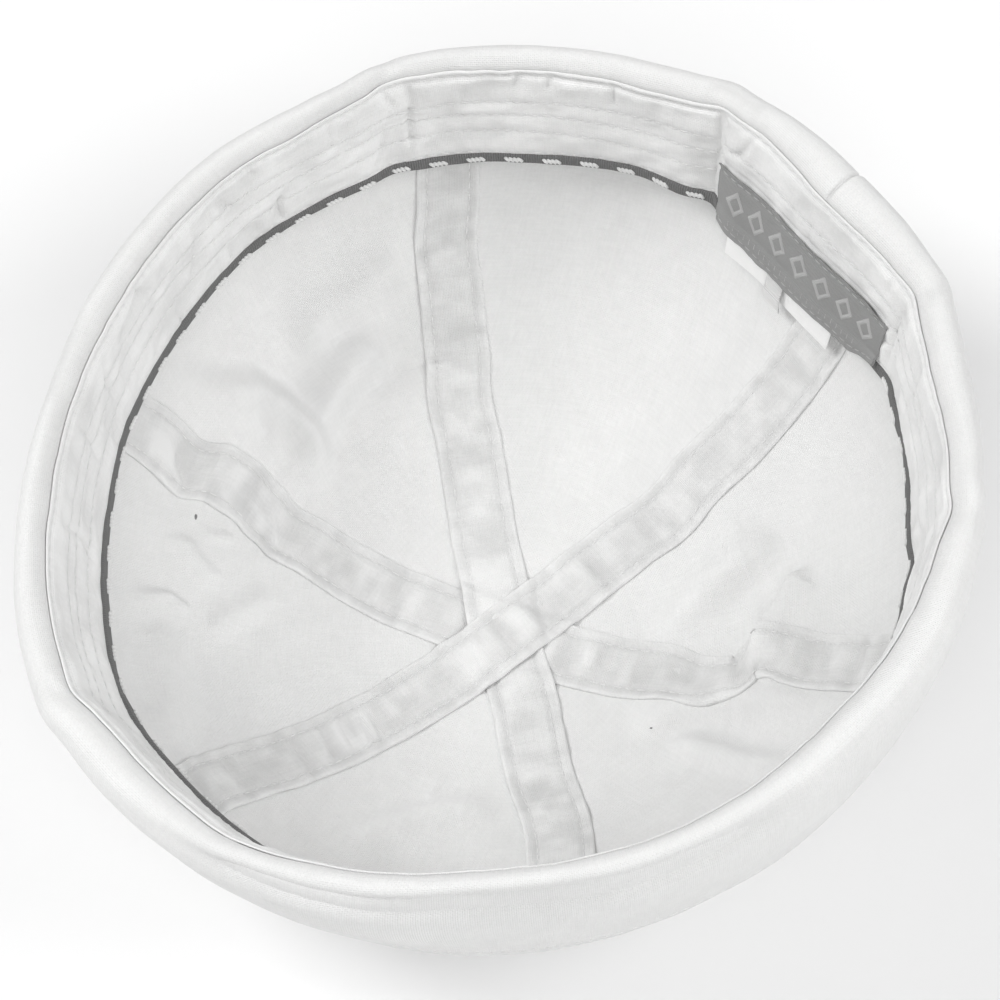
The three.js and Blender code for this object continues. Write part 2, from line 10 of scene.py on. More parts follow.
import bpy
import numpy as np
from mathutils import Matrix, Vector


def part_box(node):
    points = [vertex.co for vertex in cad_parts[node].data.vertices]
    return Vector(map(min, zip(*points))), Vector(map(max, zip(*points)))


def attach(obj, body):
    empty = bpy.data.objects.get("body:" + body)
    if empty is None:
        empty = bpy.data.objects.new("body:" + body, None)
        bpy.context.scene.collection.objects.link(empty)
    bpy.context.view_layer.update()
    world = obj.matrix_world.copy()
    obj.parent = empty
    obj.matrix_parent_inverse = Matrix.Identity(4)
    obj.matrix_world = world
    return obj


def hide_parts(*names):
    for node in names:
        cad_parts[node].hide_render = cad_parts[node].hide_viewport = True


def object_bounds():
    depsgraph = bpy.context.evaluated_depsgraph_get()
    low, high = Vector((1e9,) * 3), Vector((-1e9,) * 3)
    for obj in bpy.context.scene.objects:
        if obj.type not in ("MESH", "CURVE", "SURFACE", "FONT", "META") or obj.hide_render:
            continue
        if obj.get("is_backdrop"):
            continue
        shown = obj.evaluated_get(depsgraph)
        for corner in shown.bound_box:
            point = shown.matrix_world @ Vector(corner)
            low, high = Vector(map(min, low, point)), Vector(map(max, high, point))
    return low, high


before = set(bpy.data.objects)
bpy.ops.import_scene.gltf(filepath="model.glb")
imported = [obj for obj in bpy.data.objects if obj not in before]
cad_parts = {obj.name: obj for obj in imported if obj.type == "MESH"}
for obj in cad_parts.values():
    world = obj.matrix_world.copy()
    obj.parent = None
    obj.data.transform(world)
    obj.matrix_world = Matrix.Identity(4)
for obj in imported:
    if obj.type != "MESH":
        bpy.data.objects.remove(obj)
cad_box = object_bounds()

METRES = 0.001

# Heights above the surface that the crown rests on
SEAM_HEIGHT = 81.3
BAND_HEIGHT = 48.6
WALL_HEIGHT = SEAM_HEIGHT - BAND_HEIGHT
CROWN_EDGE_DROP = 2.6
CUFF_DROP_SCALE = 1.05

# How the layers lie on each other, as depths inside the crown's skin
PANEL_DEPTH = 0.95
TAPE_FOOT = 1.0
TAPE_RISE = 0.8
TAPE_STACK = 0.95
BAND_DEPTH_LOW = 2.6
BAND_DEPTH_TOP = 1.3
BAND_THICKNESS = 1.2
TAPE_CLEARANCE = 0.3
BINDING_OUTER = 2.3
BINDING_INNER = 4.45
SKIN_OUT_AT_RIM = 1.3
SKIN_OUT_AT_BAND = 4.6

# The two ovals that carry the opening. turn swings the long axis from the back towards the left.
RIM_OVAL = {"half_length": 97.6, "half_width": 90.8, "turn": 8, "x": 0, "y": 0}
BAND_OVAL = {"half_length": 93.0, "half_width": 85.4, "turn": 33, "x": 0, "y": 2.4}

# The crown's dome and its flattened middle
CROSSING = (-0.6, -1.4)
DOME_REACH_POWER = 1.163
DOME_RISE_POWER = 1.1
SETTLE_DEPTH = 3.0
SETTLE_SOFTNESS = 3.0
FLAT_LEVEL = 0.215
FOLDS_FULL = 0.38
FOLDS_END = 1.3

# How far the soft opening departs from its ovals, at even steps around: the direction, the shift of the
# seam and of the crown beside the sweatband's lower edge, both outwards, how far that lower edge hangs
# away from the crown, and the cuff's swell
BEND_COLUMNS = ("at", "rim", "band", "hang", "puff")
BENDS = [
    (0, -1.3, -2.3, 0.5, 0.2),
    (15, -1.4, -2.6, 0.5, 0.4),
    (30, -1.8, -2.4, 0.3, -0.3),
    (45, -2.4, -1.7, 2.2, -1.5),
    (60, -5.0, -1.5, 1.5, 0.0),
    (75, -3.7, -2.1, 1.1, 0.3),
    (90, -5.7, -3.0, 3.9, 2.5),
    (105, -1.0, -0.9, 3.4, -0.6),
    (120, -0.1, 0.7, 1.0, -1.3),
    (135, 1.9, 1.4, 1.3, -1.8),
    (150, 4.0, 2.8, 0.7, -2.6),
    (165, 1.0, 3.8, 1.7, -2.3),
    (180, 1.2, 4.0, 1.3, -1.9),
    (195, 0.1, 3.0, 1.6, -1.8),
    (210, -0.3, 1.8, 0.4, -2.2),
    (225, 0.5, 1.2, 0.2, -2.9),
    (240, 3.0, 3.3, 1.5, -2.0),
    (255, 6.7, 3.5, 0.0, -1.1),
    (270, 6.4, 1.4, 0.0, 0.3),
    (285, 7.4, 1.1, 0.5, -0.4),
    (300, 4.5, 0.3, 0.6, 0.7),
    (315, 1.5, -1.2, 0.5, -2.0),
    (330, 1.0, -2.3, 0.5, -1.2),
    (345, 0.2, -2.6, 0.5, -0.7),
]

# Corners of the opening, where the cloth is folded upright: direction, push outwards and half width
RIM_CORNERS = [
    (39, 0.9, 3.0), (72, 0.9, 3.0), (110, 1.2, 2.5),
    (154, 0.9, 3.0), (260, 1.4, 3.0), (284, 0.5, 3.0),
]

# Upright folds that press the sweatband's lower edge back towards the crown: direction, how far, half width
BAND_FOLDS = [(40, 1.0, 3.0), (70.5, 0.9, 3.0), (110, 2.4, 3.0), (155, 0.9, 3.0), (215, 0.5, 4.0)]

# The crown's six seams: direction at the crossing, halfway up and at the edge. tuck is how much of TUCK
# pushes the seam aside.
SEAMS = [
    {"near": 30, "middle": 28.5, "edge": 31, "tuck": 1},
    {"near": 90, "middle": 87.5, "edge": 88, "tuck": 0},
    {"near": 149, "middle": 149, "edge": 147, "tuck": 0},
    {"near": 206, "middle": 204.5, "edge": 209, "tuck": 0},
    {"near": 266, "middle": 264, "edge": 270, "tuck": 0},
    {"near": 333, "middle": 327, "edge": 326, "tuck": 0},
]
# The sideways jog of the first seam where the cloth is tucked: level and degrees
TUCK = [(0.36, 0.0), (0.443, 1.6), (0.472, 6.0), (0.6, 3.2), (0.8, 0.8), (0.95, 0.0)]
TAPES = [
    {"node": "seam_tape_lower", "start": 0, "end": 3},
    {"node": "seam_tape_middle", "start": 2, "end": 5},
    {"node": "seam_tape_upper", "start": 1, "end": 4},
]
# How far each half of a tape strays from its seam: rows of distance from the crossing and sideways shift
TAPE_STRAY = {
    ("seam_tape_lower", "end"): [
        (48, 0.0), (56, -0.5), (62, 1.2), (68, 2.6), (75, 2.2), (84, -1.0), (94, 0.0),
    ],
    ("seam_tape_middle", "end"): [(25, 0.0), (35, 0.6), (50, -0.6), (65, 0.5), (80, 0.0)],
}
TAPE_WIDTH = 15.0
TAPE_TOP_LEVEL = 1.33
TAPE_SEAM = 5.0  # the tapes are sewn down this far to each side of their middle

# Soft folds in the crown: middle x and y, direction, half length, half width and lift into the hollow
FOLDS = [
    (48, 40, 106, 17, 7.5, 4.0),
    (37, 34, 106, 13, 5, -1.6),
    (21, 44, 88, 19, 6, 1.5),
    (62, 13, 10, 13, 7, -2.2),
    (-81, -9, 55, 13, 5, -1.8),
    (-69, 1, 12, 9, 4.5, -1.8),
    (-65, 16, 105, 13, 5.5, -1.8),
    (-73, 20, 100, 14, 5, 1.8),
    (-58, -28, 60, 12, 8, -1.4),
    (-49, -62, 70, 7, 4, 1.3),
    (28, -56, 29, 18, 8, -2.0),
]

# Creases in the crown, along curves seen from above: the curve, the width of the steep drop on it, the width
# of the gentle slope behind, and the lift. The cloth is high on the right, looking along the curve.
CROWN_CREASES = [
    ([(-88, -25), (-84, -17), (-82, -11), (-80, -6), (-77, -4), (-74, -2), (-70, -2), (-66, -2),
      (-61, -3), (-57, -5), (-53, -6)], 7.6, 12.0, 6.6),
    ([(-71, 29), (-68, 23), (-67, 19), (-67, 14), (-66, 9), (-65, 6), (-62, 0), (-58, -4)], 7.4, 13.0, 6.0),
    ([(-76, 42), (-77, 37), (-78, 29), (-78, 23), (-79, 16), (-78, 11), (-76, 7)], 8.5, 11.5, 5.0),
    ([(-51, 1), (-50, -4), (-55, -5)], 3.6, 5.0, 0.7),
    ([(-70, -12), (-71, -15), (-71, -19)], 3.6, 5.0, 1.0),
    ([(-75, -4), (-69, -9), (-62, -14)], 3.9, 5.2, 1.0),
    ([(-45, -55), (-47, -57), (-49, -58), (-50, -61), (-50, -65)], 2.0, 3.1, 2.2),
    ([(-60, -43), (-56, -44), (-52, -44), (-48, -44)], 5.2, 6.5, 2.1),
    ([(-56, -33), (-55, -36), (-58, -40)], 3.1, 3.9, 1.0),
    ([(-41, -33), (-39, -40), (-39, -47), (-39, -52), (-41, -55)], 5.9, 7.8, 2.1),
    ([(-47, -62), (-41, -63), (-32, -69), (-25, -74), (-17, -80)], 10.4, 10.4, 3.4),
    ([(34, -35), (28, -39), (24, -47), (21, -54), (20, -60), (19, -67)], 7.8, 9.1, 2.6),
    ([(12, -42), (7, -40)], 2.6, 3.9, 1.0),
    ([(15, -34), (18, -38), (20, -43)], 3.1, 3.9, 1.0),
    ([(29, 57), (28, 52), (27, 44), (26, 36), (25, 29), (25, 20)], 9.0, 12.0, 4.0),
    ([(44, 31), (42, 36), (40, 41), (39, 46), (37, 52), (38, 56)], 3.0, 8.5, 4.4),
    ([(70, 27), (60, 25), (53, 21), (46, 17), (42, 12), (40, 7), (39, 2)], 8.0, 14.0, 3.8),
    ([(74, 14), (63, 10), (55, 8), (45, 4)], 8.0, 9.0, 4.2),
    ([(56, 29), (50, 29)], 3.1, 3.9, 1.3),
]
# Creases across the tapes, in the same columns
TAPE_CREASES = [
    ([(-78, -33), (-72, -36), (-67, -38)], 1.8, 3.6, 0.9),
    ([(-62, -32), (-67, -29), (-72, -25)], 1.8, 3.6, 0.7),
    ([(-63, -24), (-59, -24), (-55, -25)], 1.8, 3.1, 0.9),
    ([(-58, -21), (-53, -24), (-49, -27)], 1.8, 3.1, 0.9),
    ([(-9, -37), (-3, -39), (2, -41)], 1.6, 2.6, 1.1),
    ([(-9, -39), (-4, -41), (1, -43)], 1.6, 2.4, 0.9),
    ([(-10, -44), (-5, -46), (0, -47)], 1.8, 3.1, 0.9),
    ([(-11, -49), (-6, -50), (-2, -52)], 1.8, 3.1, 0.7),
    ([(-9, -58), (-4, -58), (1, -60)], 2.2, 3.6, 0.9),
    ([(-63, 27), (-60, 31), (-57, 35)], 1.9, 3.1, 0.9),
    ([(-77, 42), (-75, 46), (-73, 50)], 1.9, 3.1, 0.9),
    ([(38, -28), (36, -24), (34, -20)], 2.4, 3.6, 0.7),
]

# Narrow creases in the sweatband: directions and heights above its lower edge, half width and lift
BAND_CREASES = [
    ([(109.6, 34), (109.2, 20), (109.8, 0)], 1.1, -1.2),
    ([(104.4, 31), (105.2, 26), (106.8, 21)], 0.7, -0.8),
    ([(151.6, 33), (151.2, 27), (151.8, 18), (152.2, 5)], 0.8, -0.9),
    ([(155.2, 33), (154.6, 29), (153.8, 25)], 0.7, -0.8),
    ([(155.6, 20), (156.6, 12), (158.2, 5)], 0.7, -0.7),
    ([(172.0, 15), (172.8, 9), (172.4, 4)], 0.8, -1.2),
    ([(176.4, 34), (176.0, 30), (175.0, 26)], 0.7, -0.8),
    ([(182.6, 29), (181.2, 25), (179.6, 21)], 0.7, -0.8),
    ([(182.2, 12), (181.8, 4)], 0.7, -0.8),
    ([(193.8, 14), (194.0, 3)], 0.7, -0.7),
    ([(200.6, 31), (199.4, 27), (197.6, 24)], 0.7, -0.8),
    ([(76.0, 32), (76.4, 24)], 0.7, -0.8),
    ([(72.6, 25), (72.2, 14), (72.8, 3)], 0.8, -0.9),
    ([(124.4, 33), (124.2, 25)], 0.7, -0.7),
    ([(132.6, 33), (133.2, 27)], 0.7, -0.7),
    ([(136.6, 33), (137.6, 27)], 0.7, -0.7),
    ([(163.0, 31), (163.6, 25), (162.8, 20)], 0.7, -0.5),
    ([(187.6, 24), (188.4, 18), (189.6, 13)], 0.7, -0.6),
    ([(211.4, 30), (212.6, 22), (212.2, 14)], 0.9, -0.6),
    ([(222.0, 27), (221.0, 20), (222.4, 12)], 0.9, -0.5),
    ([(236.0, 28), (235.0, 18), (236.4, 8)], 0.9, -0.5),
    ([(62.0, 30), (61.4, 21), (62.6, 12)], 0.9, -0.6),
]

# The sweatband's stitched rows, as heights above its lower edge, and its back seam
BAND_TOP_ROW = 31.2
BAND_ROWS = [4.2, 12.3, 18.3, 23.3]
SEWN_ROWS = np.array([*BAND_ROWS, BAND_TOP_ROW])
BAND_SEAM_AT = 91.5

# Hollows in the cuff: directions and places down its outer face, half width and lift
CUFF_CREASES = [
    ([(272, 8.5), (290, 10.2), (303, 12.2), (320, 13.4), (339, 13.4), (356, 12)], 4.0, -3.2),
    ([(104.5, 6), (108.5, 6.4), (112.5, 6.3)], 3.0, -1.0),
    ([(70.5, 3), (71.5, 7), (71, 11)], 2.4, -0.7),
    ([(36.5, 3), (38, 8), (37, 13)], 3.0, -0.7),
    ([(152, 3), (153.5, 8), (152.5, 13)], 3.0, -0.7),
    ([(258, 4), (259.5, 9), (258, 15)], 3.4, -0.8),
    ([(206, 5), (214, 7), (222, 6)], 3.2, -0.6),
]

# The cuff's outer surface in section: out from the crown's skin and up from the seam
CUFF_SECTION = [
    (-0.9, -1.2), (-0.7, 0.8), (0.7, 2.6), (2.9, 3.2), (5.3, 2.2), (7.1, -0.8), (7.9, -5),
    (8.0, -10), (7.7, -15), (6.9, -20), (5.8, -25), (4.8, -30), (3.8, -35), (3.1, -38.5),
]
PUFF_REFERENCE = 8
HEM_ROWS = 4
CUFF_THICKNESS = 2.0
CUFF_EDGE_THICKNESS = 0.9
CUFF_SEAM_AT = 90.5
CUFF_HEM = 6.0  # the hem's row is this far above the cuff's lower edge

# Labels at the back
BACK_LABEL = {"start": 73.8, "end": 108.2, "low": -1.0, "high": 19.6}
CARE_LABEL = {"start": 84.0, "end": 106.0, "low": 0.842, "high": 0.994, "depth": 2.7, "foot": 2.7}
SIZE_TAB = {"start": 93.6, "end": 97.0, "low": 0.81, "high": 0.994, "depth": 3.9, "foot": 2.4}
HANGING_SLACK = 0.6

MEAN_RADIUS = 94.0
MM_PER_DEGREE = math.radians(MEAN_RADIUS)
WAY_ROUND = 360 * MM_PER_DEGREE


def mix(a, b, t):
    return a + (b - a) * t


def alike(*values):
    """Values as arrays of one shape."""
    return np.broadcast_arrays(*(np.asarray(value, float) for value in values))


def smoothstep(value, low, high):
    t = np.clip((value - low) / (high - low), 0, 1)
    return t * t * (3 - 2 * t)


def eased(value, rows):
    """Values between rows of place and amount, with soft steps between them."""
    result = rows[0][1]
    for (low, before), (high, after) in zip(rows, rows[1:]):
        result = result + (after - before) * smoothstep(value, low, high)
    return result


def unit(vectors):
    return vectors / np.maximum(np.linalg.norm(vectors, axis=-1, keepdims=True), 1e-9)


def bell(away, width):
    return np.exp(-((away / width) ** 2))


def spline(a, b, c, d, t):
    """The smooth curve from b to c at t, with a before them and d after them."""
    square = (2 * a - 5 * b + 4 * c - d) * t ** 2
    cubic = (-a + 3 * b - 3 * c + d) * t ** 3
    return 0.5 * (2 * b + (c - a) * t + square + cubic)


def travelled(line):
    """How far along a line each of its points is."""
    return np.concatenate([[0], np.cumsum(np.linalg.norm(np.diff(line, axis=0), axis=1))])


NOISE_TABLE = (1024, 256)


def noise(x, y, seed, repeat=NOISE_TABLE[0]):
    """Soft random bumps from -1 to 1, one to each unit of x and y. x comes round again after repeat units."""
    table = np.random.default_rng(seed).uniform(-1, 1, NOISE_TABLE)
    x, y = alike(x, y)
    column, row = np.floor(x).astype(int), np.floor(y).astype(int)
    tx, ty = x - column, y - row
    tx = tx ** 3 * (tx * (tx * 6 - 15) + 10)
    ty = ty ** 3 * (ty * (ty * 6 - 15) + 10)
    corner = lambda i, k: table[(column + i) % repeat, (row + k) % NOISE_TABLE[1]]
    low = mix(corner(0, 0), corner(1, 0), tx)
    high = mix(corner(0, 1), corner(1, 1), tx)
    return mix(low, high, ty)


def turned(x, y, angle):
    c, s = math.cos(math.radians(angle)), math.sin(math.radians(angle))
    return x * c + y * s, y * c - x * s


def oval_radius(oval, angle):
    t = np.radians(angle - 90 - oval["turn"])
    return 1 / np.hypot(np.cos(t) / oval["half_length"], np.sin(t) / oval["half_width"])


def bend(angle, column):
    """A column of BENDS at a direction, as a smooth curve through its rows."""
    values = np.array(BENDS)[:, BEND_COLUMNS.index(column)]
    place = np.mod(angle, 360) / 360 * len(values)
    row = np.floor(place).astype(int)
    return spline(*(values[(row + k) % len(values)] for k in (-1, 0, 1, 2)), place - row)


def bells_at(angle, rows):
    """The sum of rows of direction, amount and half width, each of which fades away to both sides."""
    return sum(amount * bell(np.mod(angle - at + 180, 360) - 180, spread) for at, amount, spread in rows)


def oval_point(oval, angle, column, out, height):
    angle, height = alike(angle, height)
    radius = oval_radius(oval, angle) + bend(angle, column) + out
    t = np.radians(angle)
    return np.stack([oval["x"] + radius * np.cos(t), oval["y"] + radius * np.sin(t), height], -1)


def wall_skin(angle, height, corners=1.0):
    """The crown's skin between the height of the sweatband's lower edge and the rim."""
    low = oval_point(BAND_OVAL, angle, "band", SKIN_OUT_AT_BAND, BAND_HEIGHT)
    pushed = SKIN_OUT_AT_RIM + corners * bells_at(angle, RIM_CORNERS)
    high = oval_point(RIM_OVAL, angle, "rim", pushed, SEAM_HEIGHT)
    share = (np.asarray(height, float) - BAND_HEIGHT) / WALL_HEIGHT
    return mix(low, high, share[..., None])


def settle(height):
    free = np.maximum(height - SETTLE_DEPTH, 0)
    return free * free / (free + SETTLE_SOFTNESS)


def dome_reach(level):
    return np.sin(level * math.pi / 2) ** DOME_REACH_POWER


def dome_height(level):
    rise = 1 - np.maximum(np.cos(level * math.pi / 2), 0) ** DOME_RISE_POWER
    return BAND_HEIGHT * settle(BAND_HEIGHT * rise) / settle(BAND_HEIGHT)


def smooth_skin(angle, level):
    """The crown's skin without folds. Level 0 is the crossing, 1 the band's low edge, 2 the crown's edge."""
    angle, level = alike(angle, level)
    dome = np.clip(level, 0, 1)
    edge = wall_skin(angle, BAND_HEIGHT)
    reach = dome_reach(dome)
    x = mix(CROSSING[0], edge[..., 0], reach)
    y = mix(CROSSING[1], edge[..., 1], reach)
    low = np.stack([x, y, dome_height(dome)], -1)
    high = wall_skin(angle, mix(BAND_HEIGHT, SEAM_HEIGHT - CROWN_EDGE_DROP, level - 1))
    return np.where(level[..., None] > 1, high, low)


UP = np.array([0.0, 0.0, 1.0])


def skin_normal(angle, level):
    """Unit normal of the smooth skin, towards the hollow."""
    angle, level = alike(angle, level)
    around = smooth_skin(angle + 0.5, level) - smooth_skin(angle - 0.5, level)
    up = smooth_skin(angle, level + 0.01) - smooth_skin(angle, np.maximum(level - 0.01, 0))
    return np.where(level[..., None] > FLAT_LEVEL, unit(np.cross(up, around)), UP)


CURVE_STEPS = 6
CURVE_FADE = 0.24


def curve_through(points):
    """A smooth curve through a few points."""
    p = np.array([points[0], *points, points[-1]], float)
    t = np.linspace(0, 1, CURVE_STEPS, endpoint=False)[:, None]
    parts = [spline(*four, t) for four in zip(p, p[1:], p[2:], p[3:])]
    return np.concatenate([*parts, p[-1:]])


def beside_curve(x, y, points, x_scale=1.0):
    """Distance from a curve, positive on its left looking along it, and a factor that fades at its ends."""
    path = curve_through([(px * x_scale, py) for px, py in points])
    best = np.full(np.broadcast(x, y).shape, 1e9)
    side, share = np.zeros(best.shape), np.zeros(best.shape)
    for i, (start, end) in enumerate(zip(path, path[1:])):
        along = end - start
        t = ((x - start[0]) * along[0] + (y - start[1]) * along[1]) / float(along @ along)
        t = np.clip(t, 0, 1)
        dx, dy = x - start[0] - t * along[0], y - start[1] - t * along[1]
        away = np.hypot(dx, dy)
        nearer = away < best
        best = np.where(nearer, away, best)
        side = np.where(nearer, along[0] * dy - along[1] * dx, side)
        share = np.where(nearer, (i + t) / (len(path) - 1), share)
    fade = smoothstep(share, 0, CURVE_FADE) * (1 - smoothstep(share, 1 - CURVE_FADE, 1))
    return best * np.sign(side), fade


def crease_lift(x, y, creases):
    """The lift of creases with a steep drop on one side."""
    lift = np.zeros(np.broadcast(x, y).shape)
    for points, drop, back, height in creases:
        side, fade = beside_curve(x, y, points)
        fall = 1 - smoothstep(side, -drop / 2, drop / 2)
        lift += height * fade * fall * (1 - smoothstep(-side, 0, back))
    return lift


def groove_lift(angle, place, grooves):
    """The lift of grooves on a wall round the opening, alike on both sides. place is across the cloth."""
    x = angle * MM_PER_DEGREE
    lift = np.zeros(np.broadcast(x, place).shape)
    for points, width, height in grooves:
        side, fade = beside_curve(x, place, points, MM_PER_DEGREE)
        lift += height * fade * bell(side, width)
    return lift


def fold_lift(x, y):
    lift = np.zeros(np.broadcast(x, y).shape)
    for fx, fy, turn, length, width, height in FOLDS:
        along, across = turned(x - fx, y - fy, turn)
        lift += height * bell(along, length) * bell(across, width)
    return lift


# The small unevenness of washed cotton, seen from above: amount, size along and across, turn, place in the
# noise and seed
CROWN_RIPPLES = [
    (0.45, 23, 23, 0, (7, 3), 11),
    (0.22, 9, 11, 31, (40, 40), 12),
    (0.08, 4.2, 4.6, 67, (80, 80), 13),
]


def crown_ripple(x, y):
    ripple = 0
    for amount, length, width, turn, (start_x, start_y), seed in CROWN_RIPPLES:
        along, across = turned(x, y, turn)
        ripple = ripple + amount * noise(along / length + start_x, across / width + start_y, seed)
    return ripple


def crown_lift(x, y, level):
    folds = fold_lift(x, y) + crease_lift(x, y, CROWN_CREASES)
    start = smoothstep(level, FLAT_LEVEL, FOLDS_FULL)
    end = 1 - smoothstep(level, 1, FOLDS_END)
    return folds * start * end + crown_ripple(x, y) * end


def skin(angle, level, depth=0.0):
    """The crown's skin with its folds, at a depth inside it."""
    point = smooth_skin(angle, level)
    lift = crown_lift(point[..., 0], point[..., 1], np.broadcast_to(level, point.shape[:-1]))
    return point + skin_normal(angle, level) * (lift + depth)[..., None]


def local_radius(angle, level):
    point = smooth_skin(angle, level)
    return np.hypot(point[..., 0] - CROSSING[0], point[..., 1] - CROSSING[1])


def seam_angle(seam, level):
    t = np.minimum(level, 1)
    bow = seam["middle"] - (seam["near"] + seam["edge"]) / 2
    return mix(seam["near"], seam["edge"], t) + bow * 4 * t * (1 - t) + seam["tuck"] * eased(level, TUCK)


def hang(angle, height):
    """How far the sweatband and its labels hang away from the crown, which fades out towards the rim."""
    low = np.maximum(bend(angle, "hang") - bells_at(angle, BAND_FOLDS), 0)
    return low * (1 - smoothstep(height, 0, WALL_HEIGHT))


def beside(angle, height, depth):
    """A point inside the skin beside the sweatband: height is above its lower edge."""
    angle, height, depth = alike(angle, height, depth)
    level = BAND_HEIGHT + height
    around = wall_skin(angle + 1, level) - wall_skin(angle - 1, level)
    inward = unit(np.stack([-around[..., 1], around[..., 0], np.zeros(angle.shape)], -1))
    return wall_skin(angle, level) + inward * (depth + hang(angle, height))[..., None]


def band_depth(height):
    tape_top = (WALL_HEIGHT - CROWN_EDGE_DROP) * (TAPE_TOP_LEVEL - 1) + TAPE_CLEARANCE
    t = np.clip((height - tape_top) / (WALL_HEIGHT - tape_top), 0, 1)
    return mix(BAND_DEPTH_LOW, BAND_DEPTH_TOP, t)


def level_at_height(height):
    levels = np.linspace(0, 1, 400)
    return np.interp(height, dome_height(levels), levels)


def skin_at_height(angle, height, corners=1.0):
    """The smooth skin carried on below the sweatband's height, for the cuff that follows it outside."""
    wall = wall_skin(angle, height, corners)
    dome = smooth_skin(angle, level_at_height(np.minimum(height, BAND_HEIGHT)))
    dome[..., 2] = height
    return np.where(np.asarray(height)[..., None] >= BAND_HEIGHT, wall, dome)


# The shift from the cap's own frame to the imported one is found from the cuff's outline, at the steps that
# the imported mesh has.
CUFF_STEPS = 64


def cuff_rows(angle):
    """The cuff's outer surface at each row of its section: out and up, for each direction."""
    out, up = np.array(CUFF_SECTION).T
    up = np.where(up < 0, up * CUFF_DROP_SCALE, up)
    swell = 1 + bend(np.asarray(angle, float), "puff")[..., None] / PUFF_REFERENCE
    swelled = np.where(out > 0, out * swell, out)
    steps = np.arange(len(out)) - (len(out) - 1 - HEM_ROWS)
    share = np.clip(steps / HEM_ROWS, 0, 1)
    return mix(swelled, out, share), np.broadcast_to(up, swelled.shape)


def outward(angle, out):
    t = np.radians(angle)
    return np.stack([out * np.cos(t), out * np.sin(t), np.zeros(np.shape(out))], -1)


def frame_shift():
    angle = np.arange(CUFF_STEPS)[:, None] * 360 / CUFF_STEPS
    out, up = cuff_rows(angle[:, 0])
    points = skin_at_height(angle, SEAM_HEIGHT + up, 0.0) + outward(angle, out)
    own = (points.min((0, 1)) + points.max((0, 1))) / 2
    low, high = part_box("cuff")
    packed = np.array((low + high) / 2) / METRES
    return np.array([packed[0] - own[0], packed[1] - own[1], 0.0])


SHIFT = frame_shift()


# Meshes

LOWEST = 0.02  # no point reaches lower than this above the surface that the cap rests on
# The paleness attribute mixes the cloth's own wear and mottle with painted shade in hollows, creases and
# stitched grooves, and with painted highlights on raised edges.
PLAIN_WEAR = 0.5  # how pale cloth is where nothing else is said, between its dark tone 0 and its light tone 1
HIDDEN_WEAR = 0.4


def new_object(name, data):
    thing = bpy.data.objects.new(name, data)
    bpy.context.scene.collection.objects.link(thing)
    return thing


def make_object(name, vertices, faces, uv, material, node=None, wear_and_painted_light=None):
    """A smooth mesh from points in millimetres, faces as lists of indices, and a UV for each corner."""
    mesh = bpy.data.meshes.new(name)
    points = (vertices + SHIFT) * METRES
    points[:, 2] = np.maximum(points[:, 2], LOWEST * METRES)
    mesh.from_pydata(points.tolist(), [], faces)
    mesh.shade_smooth()
    layer = mesh.uv_layers.new(name="Weave")
    layer.uv.foreach_set("vector", np.asarray(uv, np.float32).ravel())
    # Paleness for each point: partly wear and mottle, partly painted light and shade.
    wear_and_painted_light = np.full(len(vertices), PLAIN_WEAR) if wear_and_painted_light is None else wear_and_painted_light
    attribute = mesh.attributes.new("wear_and_painted_light", "FLOAT", "POINT")
    attribute.data.foreach_set("value", np.asarray(wear_and_painted_light, np.float32).ravel())
    mesh.materials.append(material)
    piece = new_object(name, mesh)
    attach(piece, "root")
    if node:
        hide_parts(node)


def signed_volume(vertices, quads):
    a, b, c, d = (vertices[quads[:, k]] for k in range(4))
    return float((a * np.cross(b, c)).sum() + (a * np.cross(c, d)).sum())


def loop_piece(name, sections, uv, material, node, wear_and_painted_light=None, hoop=False):
    """A closed body from loops of points set one after another: sections[station, point], with a UV for each.
    A hoop joins its last loop to its first, and uv then has one row more; other pieces get two end faces."""
    stations, size = sections.shape[:2]
    vertices = sections.reshape(-1, 3)
    steps = stations if hoop else stations - 1
    i, k = np.meshgrid(np.arange(steps), np.arange(size), indexing="ij")
    corners = [(i, k), (i + 1, k), (i + 1, k + 1), (i, k + 1)]
    quads = np.stack([(a % stations) * size + b % size for a, b in corners], -1).reshape(-1, 4)
    flat = np.stack([uv[a, b % size] for a, b in corners], -2).reshape(-1, 4, 2)
    way = -1 if signed_volume(vertices, quads) < 0 else 1
    faces = quads[:, ::way].tolist()
    uvs = [flat[:, ::way].reshape(-1, 2)]
    if not hoop:
        for end in (np.arange(size)[::-way], np.arange(size)[::way] + (stations - 1) * size):
            faces.append(end.tolist())
            uvs.append(uv.reshape(-1, 2)[end])
    make_object(name, vertices, faces, np.concatenate(uvs), material, node, wear_and_painted_light)


def there_and_back(front, back):
    """Loops that run along a front face and return along its back."""
    return np.concatenate([front, back[:, ::-1]], 1)


def grid_uv(along, across):
    return np.stack(alike(along, across), -1)


def hoop_line(grid, column):
    """A column of a grid that goes round the opening, closed on itself."""
    return np.concatenate([grid[:, column], grid[:1, column]])


def line_normals(points, other):
    """Unit normals along a row of a grid, from the row beside it."""
    return unit(np.cross(unit(np.gradient(points, axis=0)), other - points))


def facing(normals, points, way):
    """Normals turned away from the opening's middle where way is 1, and towards it where way is -1."""
    level = np.stack([way * points[..., 0], way * points[..., 1], np.zeros(points.shape[:-1])], -1)
    return normals * np.sign((normals * level).sum(-1, keepdims=True))


def square_to(vectors, along):
    """Unit vectors at right angles to others, close to the given ones."""
    return unit(vectors - (vectors * along).sum(-1, keepdims=True) * along)


THREAD_SIDES = 5
# A stitch in section: place along its half length, and thickness as a share of the thread's radius
THREAD_RINGS = [(-1.0, 0.25), (-0.78, 0.85), (0.0, 1.05), (0.78, 0.85), (1.0, 0.25)]


